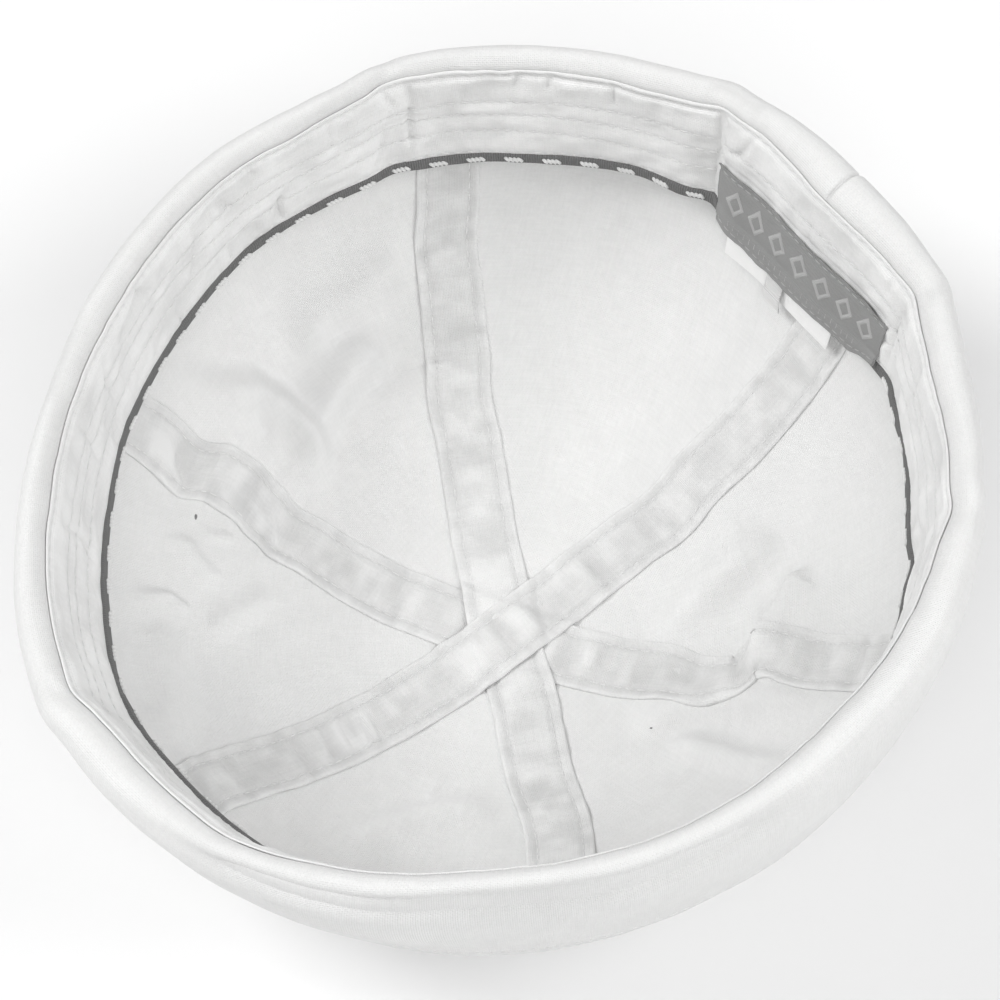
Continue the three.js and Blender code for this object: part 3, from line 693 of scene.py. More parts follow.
def thread_template():
    turn = np.arange(THREAD_SIDES) * 2 * math.pi / THREAD_SIDES
    rings = [[(x, r * math.cos(t), r * math.sin(t)) for t in turn] for x, r in THREAD_RINGS]
    vertices = np.array(rings).reshape(-1, 3)
    faces = []
    for ring in range(len(THREAD_RINGS) - 1):
        for k in range(THREAD_SIDES):
            a, b = ring * THREAD_SIDES + k, ring * THREAD_SIDES + (k + 1) % THREAD_SIDES
            faces.append((a, b, b + THREAD_SIDES, a + THREAD_SIDES))
    top = (len(THREAD_RINGS) - 1) * THREAD_SIDES
    caps = [tuple(range(THREAD_SIDES))[::-1], tuple(range(top, top + THREAD_SIDES))]
    return vertices, faces, caps


def threads(name, centres, along, normals, half_lengths, radius, dip, material):
    """Many stitches in one mesh. Each lies on its cloth, and its ends dip into it."""
    template, quads, caps = thread_template()
    side = np.cross(normals, along)
    x, y, z = template.T
    reach = half_lengths[:, None] * x[None]
    rise = radius * z[None] - dip * x[None] ** 2
    vertices = (centres[:, None] + reach[..., None] * along[:, None]
                + radius * y[None, :, None] * side[:, None] + rise[..., None] * normals[:, None])
    base = np.arange(len(centres))[:, None, None] * len(template)
    faces = (base + np.array(quads)[None]).reshape(-1, 4)
    ends = (base + np.array(caps)[None]).reshape(-1, THREAD_SIDES)
    turn = np.tile(np.arange(THREAD_SIDES), len(THREAD_RINGS)) * (2 * math.pi * radius / THREAD_SIDES)
    uv = grid_uv(reach, turn).reshape(-1, 2)
    flat = np.concatenate([uv[faces.ravel()], uv[ends.ravel()]])
    make_object(name, vertices.reshape(-1, 3), faces.tolist() + ends.tolist(), flat, material)


STITCH_SHIFT = 0.06  # how far a stitch may stray along its row, as a share of the pitch
STITCH_LENGTHS = (0.92, 1.06)


def stitch_places(rng, pitch, share, points, normals, keep=None):
    """Stitches along a line: centres, tangents, normals and half lengths. keep says where they show."""
    far = travelled(points)
    count = int(far[-1] / pitch)
    at = (np.arange(count) + 0.5) * far[-1] / count
    at = at + rng.uniform(-STITCH_SHIFT, STITCH_SHIFT, count) * pitch
    half = pitch * share / 2 * rng.uniform(*STITCH_LENGTHS, count)
    pick = lambda values, places: np.stack([np.interp(places, far, values[:, k]) for k in range(3)], -1)
    along = unit(pick(points, at + half) - pick(points, at - half))
    found = pick(points, at), along, square_to(pick(normals, at), along), half
    if keep is None:
        return found
    kept = np.interp(at, far, keep.astype(float)) > 0.5
    return [column[kept] for column in found]


# Sewn rows: seed, pitch, the share of it that shows, lift, the thread's radius and the dip of a stitch's ends
SEWING = {
    "tape_stitches": (5, 2.7, 0.78, 0.05, 0.17, 0.16),
    "sweatband_stitches": (6, 2.9, 0.76, 0.1, 0.2, 0.15),
    "cuff_stitches": (7, 2.9, 0.78, 0.05, 0.18, 0.15),
    "crown_stitches": (8, 2.7, 0.78, 0.05, 0.18, 0.16),
    "label_stitches": (9, 2.3, 0.82, 0.06, 0.15, 0.1),
}
STEEP = -0.2  # the least upward share of a normal that is left as it is


def sew(name, rows, material, upright=False):
    """Stitched rows as one mesh. A row is its line, its normals and, if some of it is hidden, what shows.
    upright turns normals over where they point down."""
    seed, pitch, share, lift, radius, dip = SEWING[name]
    rng = np.random.default_rng(seed)
    places = [stitch_places(rng, pitch, share, *row) for row in rows]
    centres, along, normals, half = (np.concatenate(column) for column in zip(*places))
    if upright:
        normals = np.where(normals[:, 2:] < STEEP, -normals, normals)
    threads(name, centres + normals * lift, along, normals, half, radius, dip, material)


# Materials

def feed(tree, socket, value):
    """Joins an input to an output, or sets it to a number or numbers."""
    if isinstance(value, bpy.types.NodeSocket):
        tree.links.new(value, socket)
    else:
        socket.default_value = value


def node_with(tree, kind, **inputs):
    node = tree.nodes.new(kind)
    for name, value in inputs.items():
        feed(tree, node.inputs[name], value)
    return node


def maths(tree, operation, *values):
    """A math node whose inputs are outputs or numbers; its result."""
    node = tree.nodes.new("ShaderNodeMath")
    node.operation = operation
    for socket, value in zip(node.inputs, values):
        feed(tree, socket, value)
    return node.outputs[0]


def scaled(tree, value, gain, base):
    return maths(tree, "MULTIPLY_ADD", value, gain, base)


def spread(tree, value, middle, gain, base):
    """A value's departure from its middle, times a gain, on top of a base."""
    return scaled(tree, maths(tree, "SUBTRACT", value, middle), gain, base)


def wave(tree, value, length):
    return maths(tree, "SINE", maths(tree, "MULTIPLY", value, 2 * math.pi / length))


def noise_node(tree, vector, scale, detail, roughness=0.5):
    settings = {"Scale": scale, "Detail": detail, "Roughness": roughness}
    return node_with(tree, "ShaderNodeTexNoise", Vector=vector, **settings).outputs["Fac"]


def stretched(tree, vector, scale):
    return node_with(tree, "ShaderNodeMapping", Vector=vector, Scale=scale).outputs["Vector"]


def axes_of(tree, uv):
    outputs = node_with(tree, "ShaderNodeSeparateXYZ", Vector=uv).outputs
    return outputs["X"], outputs["Y"]


def new_material(name, roughness, sheen=0.0):
    material = bpy.data.materials.new(name)
    material.use_nodes = True
    tree = material.node_tree
    shader = tree.nodes["Principled BSDF"]
    shader.inputs["Roughness"].default_value = roughness
    shader.inputs["Sheen Weight"].default_value = sheen
    uv = tree.nodes.new("ShaderNodeUVMap")
    uv.uv_map = "Weave"
    return material, tree, shader, uv.outputs["UV"]


WARMTH = 0.995  # blue as a share of red and green


def surface(tree, shader, tones, factor, relief, height, roughness):
    """Joins the surface: a grey between two tones by a factor, bumps with their relief, and the roughness."""
    tone = tree.nodes.new("ShaderNodeMix")
    tone.data_type = "RGBA"
    tone.clamp_factor = True
    for name, grey in zip("AB", tones):
        tone.inputs[name].default_value = (grey, grey, grey * WARMTH, 1)
    tree.links.new(factor, tone.inputs["Factor"])
    tree.links.new(tone.outputs["Result"], shader.inputs["Base Color"])
    bumps = node_with(tree, "ShaderNodeBump", Distance=relief * METRES, Height=height)
    tree.links.new(bumps.outputs["Normal"], shader.inputs["Normal"])
    tree.links.new(roughness, shader.inputs["Roughness"])


def plain_weave(tree, uv, pitch):
    """Height of a plain weave, from crossing threads of a pitch in millimetres."""
    warp, weft = (wave(tree, axis, 2 * pitch) for axis in axes_of(tree, uv))
    threads_over = maths(tree, "ADD", maths(tree, "ABSOLUTE", warp), maths(tree, "ABSOLUTE", weft))
    return scaled(tree, maths(tree, "MULTIPLY", warp, weft), 0.5, threads_over)


# Cotton: the width and length of its uneven threads, the depth of its weave and how mottled its tone is
SLUB_WIDTH = 0.55
SLUB_LENGTH = 7.0
COTTON_RELIEF = 0.05
COTTON_MOTTLE = 0.5
# Sewing thread: the length of its plies along it, their slant and the depth between them
PLY_LENGTH = 0.45
PLY_SLANT = 1.2
PLY_RELIEF = 0.05


def slubs(tree, uv):
    """Uneven threads in both directions."""
    short, long = 1 / SLUB_WIDTH, 1 / SLUB_LENGTH
    warp = noise_node(tree, stretched(tree, uv, (short, long, 1)), 1.0, 2.0)
    weft = noise_node(tree, stretched(tree, uv, (long, short, 1)), 1.0, 2.0)
    return maths(tree, "SUBTRACT", maths(tree, "ADD", warp, weft), 1.0)


def cotton(name, *tones, pitch=0.38):
    """Washed plain-woven cotton: uneven threads, mottled tone, and the paleness each mesh gives it, partly
    wear and partly painted light and shade: paler where raised, darker in hollows and sunk rows.
    """
    material, tree, shader, uv = new_material(name, 0.92, sheen=0.12)
    # The paleness per point is partly wear and partly painted shade and painted highlights.
    wear_and_painted_light = tree.nodes.new("ShaderNodeAttribute")
    wear_and_painted_light.attribute_name = "wear_and_painted_light"
    weave = plain_weave(tree, uv, pitch)
    uneven = slubs(tree, uv)
    cloudy = noise_node(tree, uv, 0.16, 4.0, 0.6)
    grainy = noise_node(tree, uv, 1.1, 2.0, 0.6)
    factor = scaled(tree, uneven, 0.5, wear_and_painted_light.outputs["Fac"])
    for patches in (cloudy, grainy):
        factor = spread(tree, patches, 0.5, COTTON_MOTTLE, factor)
    factor = spread(tree, weave, 1.0, 0.04, factor)
    height = scaled(tree, grainy, 1.5, scaled(tree, uneven, 1.2, weave))
    surface(tree, shader, tones, factor, COTTON_RELIEF, height, scaled(tree, grainy, 0.12, 0.84))
    return material


def ribbed(name, *tones, rib, roughness, relief):
    """Ribbon with ribs across it: rib is their pitch in millimetres along the ribbon."""
    material, tree, shader, uv = new_material(name, roughness)
    ribs = wave(tree, axes_of(tree, uv)[0], rib)
    fibres = noise_node(tree, stretched(tree, uv, (2.4, 5.0, 1)), 1.0, 3.0)
    height = scaled(tree, fibres, 0.6, ribs)
    rough = scaled(tree, fibres, 0.2, roughness - 0.1)
    surface(tree, shader, tones, scaled(tree, ribs, 0.2, fibres), relief, height, rough)
    return material


def thread_material(name, *tones):
    """Twisted sewing thread: slanted plies along each stitch."""
    material, tree, shader, uv = new_material(name, 0.6, sheen=0.1)
    along, around = axes_of(tree, uv)
    ply = wave(tree, scaled(tree, around, PLY_SLANT, along), PLY_LENGTH)
    fibres = noise_node(tree, uv, 3.0, 2.0)
    rough = scaled(tree, fibres, 0.2, 0.5)
    surface(tree, shader, tones, scaled(tree, ply, 0.25, fibres), PLY_RELIEF, ply, rough)
    return material


def floor_material():
    material = bpy.data.materials.new("pale_floor")
    material.use_nodes = True
    shader = material.node_tree.nodes["Principled BSDF"]
    shader.inputs["Base Color"].default_value = (0.9, 0.9, 0.9, 1)
    shader.inputs["Roughness"].default_value = 0.9
    return material


# Each has its dark and its light tone, and a ribbon the pitch and depth of its ribs.
CROWN_COTTON = cotton("crown_cotton", 0.76, 0.88)
TAPE_COTTON = cotton("tape_cotton", 0.66, 0.83)
BAND_COTTON = cotton("band_cotton", 0.79, 0.94)
CUFF_COTTON = cotton("cuff_cotton", 0.72, 0.83, pitch=0.42)
BINDING_RIBBON = ribbed("binding_ribbon", 0.13, 0.24, rib=0.55, roughness=0.75, relief=0.12)
LABEL_WEAVE = ribbed("label_weave", 0.26, 0.42, rib=0.35, roughness=0.55, relief=0.06)
LABEL_SATIN = ribbed("label_satin", 0.95, 1.0, rib=0.4, roughness=0.4, relief=0.03)
TAB_RIBBON = ribbed("tab_ribbon", 0.82, 0.92, rib=0.9, roughness=0.6, relief=0.12)
PALE_THREAD = thread_material("pale_thread", 0.85, 0.96)
MARK_THREAD = thread_material("mark_thread", 0.9, 0.98)
LABEL_THREAD = thread_material("label_thread", 0.45, 0.65)
DARK_THREAD = thread_material("dark_thread", 0.2, 0.3)


# Crown panels

PANEL_ROWS = 150
PANEL_TOP_ROWS = 7
PANEL_START = 0.018  # the level at which the panels begin, beside the crossing
PANEL_GAP = 0.12  # between a panel's edge and the middle of its seam
# A panel's faces: points across it, how much they gather beside the seams, and its depth inside the skin
PANEL_INSIDE = (130, 0.3, PANEL_DEPTH)
PANEL_OUTSIDE = (40, 0.75, 0.0)


def panel_shares(count, gather):
    """Places across a panel from 0 to 1, closer together beside the seams."""
    t = np.linspace(0, 1, count)
    return t - gather * np.sin(2 * math.pi * t) / (2 * math.pi)


def crown_panel(index):
    left, right = SEAMS[index], SEAMS[(index + 1) % len(SEAMS)]
    wrap = 360 if index + 1 == len(SEAMS) else 0
    below, above = np.linspace(PANEL_START, 1.02, PANEL_ROWS), np.linspace(1.1, 2, PANEL_TOP_ROWS)
    levels = np.concatenate([below, above])[:, None]
    start, end = seam_angle(left, levels), seam_angle(right, levels) + wrap
    middle = (start + end) / 2
    gap = np.degrees(np.arcsin(np.minimum(PANEL_GAP / local_radius(middle, levels), 1)))
    sides = []
    for count, gather, depth in (PANEL_INSIDE, PANEL_OUTSIDE):
        outside = depth == 0
        angle = mix(start + gap, end - gap, panel_shares(count, gather))
        radius = local_radius(angle, levels)
        away = np.radians(np.minimum(np.abs(angle - start), np.abs(end - angle))) * radius
        # Outside, the cloth turns in where the panels are sewn together.
        tuck = (0.55 * bell(away, 0.9) + 0.16 * bell(away - TAPE_SEAM, 0.7)) * outside
        points = skin(angle, levels, depth + tuck)
        uv = grid_uv(np.radians(angle - middle) * radius, travelled(points[:, count // 2])[:, None])
        # Painted shade: outside, the cloth is darker along the sunk stitched rows beside each seam. The tone
        # also follows the ripples, partly wear and partly painted shade.
        painted_outside_row_shade = bell(away - TAPE_SEAM, 2.5) * outside
        wear_and_painted_light = PLAIN_WEAR + 0.35 * crown_ripple(points[..., 0], points[..., 1]) - 0.12 * painted_outside_row_shade
        sides.append((points, uv, wear_and_painted_light))
    sections, uv, wear_and_painted_light = (there_and_back(inner, outer) for inner, outer in zip(*sides))
    node = f"crown_panel_{index + 1}"
    loop_piece(node + "_cloth", sections, uv, CROWN_COTTON, node, wear_and_painted_light)


# Two dark specks on the crown's cloth: x, y and half their length
SPECKS = [(-62, -38, 0.7), (39.5, 6, 0.15)]
SPECK_ALONG = np.array([-0.7385, 0.674, 0.0])
SPECK_RADIUS = 0.34
SPECK_DIP = 0.1


def crown_specks():
    x, y, half = np.array(SPECKS).T
    angle, level = place_of(x, y)
    normals = skin_normal(angle, level)
    along = square_to(SPECK_ALONG, normals)
    centres = skin(angle, level, PANEL_DEPTH)
    threads("crown_specks", centres, along, normals, half, SPECK_RADIUS, SPECK_DIP, DARK_THREAD)


# Seam tapes

# Half of a tape's upper face in section: place from its middle, and height as a share of its rise
TAPE_HALF = [
    (0.0, 0.82), (1.0, 0.82), (2.0, 0.84), (3.0, 0.88), (3.8, 0.88), (4.3, 0.78), (4.65, 0.62), (5.0, 0.54),
    (5.35, 0.62), (5.7, 0.8), (6.2, 0.95), (6.7, 1.0), (7.1, 0.97), (7.35, 0.8), (7.5, 0.45), (7.46, 0.05),
]
TAPE_STEP = 0.55
TAPE_EASE = 13  # steps over which a tape's direction is evened out
TAPE_STRAIGHT = 14  # how far from the crossing a tape bends from its straight way through it to its seam
TAPE_LEAST = 0.12  # a tape's least height above its foot
TAPE_SWAY = 1.1  # how far a tape wanders from its line
TAPE_HIDDEN = TAPE_WIDTH / 2 + 3.5  # the rows of the two lower tapes are hidden this close to the crossing
STACK_POINTS = 90  # steps from the crossing over which tapes can lie on each other
TAPE_FINE = 900  # places along a seam from which the even steps are read
PLACE_TABLE = np.arange(-30.0, 391.0, 0.5)


def place_of(x, y):
    """The direction and level of the crown's skin at a point seen from above."""
    edge = wall_skin(PLACE_TABLE, np.full(PLACE_TABLE.shape, BAND_HEIGHT))
    dx, dy = edge[:, 0] - CROSSING[0], edge[:, 1] - CROSSING[1]
    bearing = np.unwrap(np.arctan2(dy, dx))
    own = np.arctan2(y - CROSSING[1], x - CROSSING[0])
    own = np.mod(own - bearing[0], 2 * math.pi) + bearing[0]
    reach = np.hypot(x - CROSSING[0], y - CROSSING[1]) / np.interp(own, bearing, np.hypot(dx, dy))
    level = 2 / math.pi * np.arcsin(np.clip(reach, 0, 1) ** (1 / DOME_REACH_POWER))
    return np.interp(own, bearing, PLACE_TABLE), level


def tape_middle(tape, which):
    """The middle line of a tape from the crossing outwards, in even steps: x, y, level and direction."""
    seam = SEAMS[tape[which]]
    other = SEAMS[tape["end" if which == "start" else "start"]]
    # The tape runs smoothly through the crossing, though its two seams don't lie quite in line.
    opposite = other["near"] + 180 - 360 * round((other["near"] + 180 - seam["near"]) / 360)
    chord = (seam["near"] + opposite) / 2
    level = np.linspace(0, TAPE_TOP_LEVEL, TAPE_FINE)
    angle = seam_angle(seam, level)
    line = smooth_skin(angle, level)
    dx, dy = line[:, 0] - CROSSING[0], line[:, 1] - CROSSING[1]
    away = np.hypot(dx, dy)
    own = np.degrees(np.arctan2(dy, dx))
    own = own - 360 * np.round((own - chord) / 360)
    bearing = np.radians(mix(chord, own, smoothstep(away, 0, TAPE_STRAIGHT)))
    line[:, 0] = CROSSING[0] + away * np.cos(bearing)
    line[:, 1] = CROSSING[1] + away * np.sin(bearing)
    far = travelled(line)
    even = np.linspace(0, far[-1], int(far[-1] / TAPE_STEP))
    return even, *(np.interp(even, far, values) for values in (line[:, 0], line[:, 1], level, angle))


def tape_side(tape, which, aside):
    """Points under one half of a tape, from the crossing outwards: the skin, its normal, the distance from
    the crossing and the level. which is 'start' or 'end'."""
    side = 1 if which == "start" else -1
    even, x, y, level, angle = tape_middle(tape, which)
    along = np.stack([np.gradient(x), np.gradient(y)], -1)
    window = np.ones(TAPE_EASE) / TAPE_EASE
    padded = np.pad(along, ((TAPE_EASE // 2, TAPE_EASE // 2), (0, 0)), mode="edge")
    along = unit(np.stack([np.convolve(padded[:, k], window, mode="valid") for k in (0, 1)], -1))
    sway = TAPE_SWAY * noise(even / 12 + 20, tape[which] + 0.5, 45) * smoothstep(even, 12, 30)
    aside = aside + sway[:, None]
    if (tape["node"], which) in TAPE_STRAY:
        aside = aside + eased(even, TAPE_STRAY[tape["node"], which])[:, None]
    flat_x = x[:, None] - side * aside * along[:, 1:]
    flat_y = y[:, None] + side * aside * along[:, :1]
    flat_angle, flat_level = place_of(flat_x, flat_y)
    level, angle = level[:, None], angle[:, None]
    radius = np.maximum(local_radius(angle, level), TAPE_WIDTH)
    swung = angle + np.degrees(np.arcsin(aside / radius)) * side
    flat_angle = flat_angle + 360 * np.round((swung - flat_angle) / 360)
    climbing = smoothstep(level, 0.35, 0.8)
    at = mix(flat_angle, swung, climbing)
    at_level = mix(flat_level, level, climbing)
    return skin(at, at_level), skin_normal(at, at_level), even, level[:, 0]


def stack_lift(number, x, y):
    """How high a tape is lifted by the tapes that it lies on."""
    lift = np.zeros(x.shape)
    for tape in TAPES[:number]:
        away = np.full(x.shape, 1e9)
        for which in ("start", "end"):
            line_x, line_y = tape_middle(tape, which)[1:3]
            for px, py in zip(line_x[:STACK_POINTS], line_y[:STACK_POINTS]):
                away = np.minimum(away, np.hypot(x - px, y - py))
        lift += TAPE_STACK * (1 - smoothstep(away, 7.0, 9.5))
    return lift


# Cross wrinkles of a tape: amount, size along and across, and place in the noise
TAPE_WRINKLES = [(0.72, 4.6, 12, 9), (0.2, 2.3, 8, 5), (0.14, 7.5, 5, 30)]


def tape_wrinkles(s, aside, seed):
    """Cross wrinkles of a tape between its stitched rows, and the ripple of its free edges."""
    cross = 0
    for number, (amount, length, width, start) in enumerate(TAPE_WRINKLES):
        cross = cross + amount * noise(s / length, aside / width + start, seed + number)
    edge = 0.16 * noise(s / 2.8, np.sign(aside) * 3 + 50, seed + 3) * smoothstep(np.abs(aside), 5.4, 7.4)
    return cross * (bell(aside, 4.6) + 0.3) + edge


def seam_tape(tape, seed):
    half = np.array(TAPE_HALF)
    aside = np.concatenate([-half[::-1, 0], half[1:, 0]])
    rise = np.concatenate([half[::-1, 1], half[1:, 1]]) * TAPE_RISE
    start = tape_side(tape, "start", aside[None])
    end = tape_side(tape, "end", aside[None])
    join = lambda a, b: np.concatenate([a[::-1], b[1:]])
    points, normals = join(start[0], end[0]), join(start[1], end[1])
    s = np.concatenate([-start[2][::-1], end[2][1:]])[:, None]
    level = join(start[3], end[3])
    stacked = stack_lift(TAPES.index(tape), points[..., 0], points[..., 1])
    creases = crease_lift(points[..., 0], points[..., 1], TAPE_CREASES)
    wrinkle = tape_wrinkles(s + 300, aside[None], seed) + creases
    raised = np.maximum(rise[None] + wrinkle, TAPE_LEAST)
    upper = points + normals * (TAPE_FOOT + raised + stacked)[..., None]
    foot_columns = np.linspace(0, len(aside) - 1, 7).round().astype(int)
    lower = (points + normals * (TAPE_FOOT + stacked)[..., None])[:, foot_columns]
    sections = there_and_back(upper, lower)
    uv = grid_uv(s, np.concatenate([aside, aside[foot_columns][::-1]])[None])
    # Painted shade along the sunk stitched rows and painted highlights on the raised folded edges. The
    # wrinkles and creases also make the tape paler where raised and darker where sunk, partly wear and partly
    # painted shade; the mottle is the cloth's own.
    painted_tape_row_shade = bell(np.abs(aside) - TAPE_SEAM, 0.7)[None]
    painted_tape_edge_highlight = smoothstep(np.abs(aside), 6.4, 7.2)[None]
    mottle = 0.3 * noise(s / 2.8 + 400, aside[None] / 3 + 70, seed + 5)
    top_wear_and_painted_light = PLAIN_WEAR + 0.5 * wrinkle + mottle - 0.25 * painted_tape_row_shade + 0.35 * painted_tape_edge_highlight
    wear_and_painted_light = np.concatenate([top_wear_and_painted_light, np.full(lower.shape[:2], HIDDEN_WEAR)], 1)
    loop_piece(tape["node"] + "_cloth", sections, uv, TAPE_COTTON, tape["node"], wear_and_painted_light)
    return upper, aside, level, s[:, 0]


def tape_stitches(made):
    rows = []
    for number, (upper, aside, level, s) in enumerate(made):
        hidden = (np.abs(s) < TAPE_HIDDEN) & (number < len(TAPES) - 1)
        for place in (-TAPE_SEAM, TAPE_SEAM):
            column = int(np.argmin(np.abs(aside - place)))
            normals = line_normals(upper[:, column], upper[:, column + 1])
            rows.append((upper[:, column], normals, (level < 1.05) & ~hidden))
    sew("tape_stitches", rows, PALE_THREAD, upright=True)


# Sweatband and binding

BAND_STATIONS = 820
# Heights of the sweatband's points: the lowest, the even step, more beside a stitched row, and down its back
BAND_LOWEST = 3.0
BAND_STEP = 0.75
BESIDE_ROW = np.array([-0.9, -0.45, 0, 0.45, 0.9])
BAND_BACK = [30.0, 24.0, 17.0, 10.0, 5.0, 3.0]
# The bead on its top edge: places round it, its middle below the rim and inside, its half height and width
BEAD_TURNS = [15, 50, 90, 130, 165]
BEAD = {"below": 0.3, "inside": 0.2, "half_height": 0.4, "half_width": 0.27}

# Layers of noise round the opening: amount, size round it and across, place in the noise and seed, and for a
# slanting layer the way down in which it moves on by one bump
RIM_INWARDS = [(0.35, 9, 1, 2.5, 71), (0.12, 3.4, 1, 4.5, 73)]
RIM_UPWARDS = [(0.4, 11, 1, 7.5, 72), (0.15, 3.8, 1, 9.5, 74)]
ROW_WANDER = [(1.6, 33, 8, 2, 25)]
BAND_PUCKERS = [(0.34, 3.2, 6.5, 5, 21), (0.38, 5.8, 5, 9, 22, 9), (0.1, 1.7, 2.2, 2, 23)]
BAND_WAVES = [(0.3, 16, 16, 2, 24)]
BAND_MOTTLE = [(0.35, 7, 7, 0, 26)]
BINDING_WAVES = [(0.16, 7, 8, 3, 31), (0.06, 2.6, 4, 3, 32)]
CUFF_RIPPLES = [(0.5, 34, 16, 4, 41), (0.22, 13, 9, 4, 42, 40), (0.08, 4.6, 4, 4, 43)]


def around_noise(angle, place, layers):
    """Layers of noise round the opening, each of which meets itself. place is across the cloth."""
    total = 0
    for amount, length, width, start, seed, *slant in layers:
        repeat = round(WAY_ROUND / length)
        shift = place / slant[0] if slant else 0.0
        total = total + amount * noise(angle / 360 * repeat + shift, place / width + start, seed, repeat)
    return total


def rim_wobble(angle):
    """The unevenness of the seam at the rim: inwards and up."""
    return around_noise(angle, 0, RIM_INWARDS), around_noise(angle, 0, RIM_UPWARDS)


def row_wander(angle, height):
    """How far the sweatband's stitched rows stray from their heights."""
    stray = around_noise(angle, height, ROW_WANDER)
    return stray * smoothstep(height, 3.5, 10) * (1 - smoothstep(height, 25, 30))


def band_heights():
    near = (SEWN_ROWS[:, None] + BESIDE_ROW).ravel()
    even = np.arange(BAND_LOWEST, WALL_HEIGHT - 0.6, BAND_STEP)
    even = even[np.abs(even[:, None] - near[None]).min(1) > 0.3]
    return np.sort(np.concatenate([near, even]))


def band_relief(angle, height):
    """The sweatband's own surface: sunk along its stitched rows, puckered between them, folded at the top."""
    sunk = sum(bell(height - row, 0.5) for row in SEWN_ROWS)
    between = np.clip(np.abs(height[..., None] - SEWN_ROWS).min(-1) / 2.2, 0.3, 1)
    lip = 0.3 * smoothstep(height, BAND_TOP_ROW + 0.3, BAND_TOP_ROW + 0.9)
    seam = -0.35 * bell((angle - BAND_SEAM_AT) * MM_PER_DEGREE - 0.5 * np.sin(height / 5), 0.5)
    seam = seam * smoothstep(height, 14, 17) * (1 - smoothstep(height, 28, 30))
    ripple = around_noise(angle, height, BAND_PUCKERS) * between + around_noise(angle, height, BAND_WAVES)
    ripple = ripple * (1 - 0.6 * smoothstep(height, 28, WALL_HEIGHT))
    return ripple, -0.2 * sunk + lip + seam


def sweatband():
    angle = np.linspace(0, 360, BAND_STATIONS, endpoint=False)[:, None]
    height = band_heights()[None]
    ripple, relief = band_relief(angle, height)
    real = height + row_wander(angle, height)
    creases = groove_lift(angle, real, BAND_CREASES)
    relief = relief + creases * (1 - smoothstep(height, BAND_TOP_ROW, WALL_HEIGHT))
    inwards, upwards = rim_wobble(angle)
    near_rim = smoothstep(height, 26, 31)
    thickness = mix(BAND_THICKNESS, 0.3, smoothstep(height, 29.5, 31.5))
    depth = band_depth(height) + thickness + ripple + relief + inwards * near_rim
    inner = beside(angle, real + upwards * near_rim, depth)
    # The top edge is folded over into a thin bead.
    turn = np.radians(BEAD_TURNS)[None]
    top_height = WALL_HEIGHT - BEAD["below"] + BEAD["half_height"] * np.sin(turn) + upwards
    top_depth = BAND_DEPTH_TOP + BEAD["inside"] + BEAD["half_width"] * np.cos(turn) + inwards
    top = beside(angle, top_height, top_depth)
    back_height = np.array(BAND_BACK)[None]
    back = beside(angle, back_height, band_depth(back_height))
    sections = np.concatenate([inner, top, back], 1)
    around = np.linspace(0, WAY_ROUND, BAND_STATIONS + 1)[:, None]
    across = np.concatenate([height[0], WALL_HEIGHT + np.arange(len(BEAD_TURNS)) * 0.4, 70 - back_height[0]])
    # Painted shade: darker along the sunk stitched rows, in the creases, and in dashes along the top stitched
    # row. Painted highlight: the folded top edge and its bead are made pale. The puckers also set the tone,
    # partly wear and partly painted shade; the mottle is the cloth's own.
    sunk = sum(bell(height - row, 0.6) for row in BAND_ROWS)
    mottle = around_noise(angle, height, BAND_MOTTLE)
    dashes = smoothstep(np.cos(angle * MM_PER_DEGREE * 2 * math.pi / 2.9), 0.1, 0.8)
    painted_top_row_shade = bell(height - BAND_TOP_ROW, 0.4) * (0.5 + 0.9 * dashes)
    wear_and_painted_light = PLAIN_WEAR + 0.6 * ripple + mottle - 0.3 * sunk - painted_top_row_shade + 0.5 * creases
    wear_and_painted_light = wear_and_painted_light + 0.4 * smoothstep(height, BAND_TOP_ROW + 0.5, BAND_TOP_ROW + 1.0)
    painted_bead_highlight, back_wear = np.full(top.shape[:2], 0.95), np.full(back.shape[:2], HIDDEN_WEAR)
    wear_and_painted_light = np.concatenate([wear_and_painted_light, painted_bead_highlight, back_wear], 1)
    loop_piece("sweatband_cloth", sections, grid_uv(around, across[None]), BAND_COTTON,
               "sweatband", wear_and_painted_light, hoop=True)
    return inner, angle[:, 0], height[0]


def band_stitches(inner, angle, height):
    whole = np.concatenate([angle, [360]])
    rows = []
    for row in SEWN_ROWS:
        column = int(np.argmin(np.abs(height - row)))
        line = hoop_line(inner, column)
        covered = (whole > BACK_LABEL["start"]) & (whole < BACK_LABEL["end"]) & (row < BACK_LABEL["high"])
        normals = facing(line_normals(line, hoop_line(inner, column + 1)), line, -1)
        rows.append((line, normals, ~covered))
    sew("sweatband_stitches", rows, PALE_THREAD)


BINDING_STATIONS = 560
# The binding in section: depth from its outer to its inner face as a share, and height
BINDING_SECTION = [
    (0.0, 3.3), (0.0, 2.2), (0.0, 1.0), (0.12, 0.35), (0.35, 0.05), (0.6, 0.0), (0.84, 0.2), (0.97, 0.7),
    (1.0, 1.3), (1.0, 1.9), (0.98, 2.5), (0.96, 3.1), (0.9, 3.5), (0.8, 3.65), (0.6, 3.6),
]


def binding_wave(angle, height):
    return around_noise(angle, height, BINDING_WAVES) + groove_lift(angle, height, BAND_CREASES)


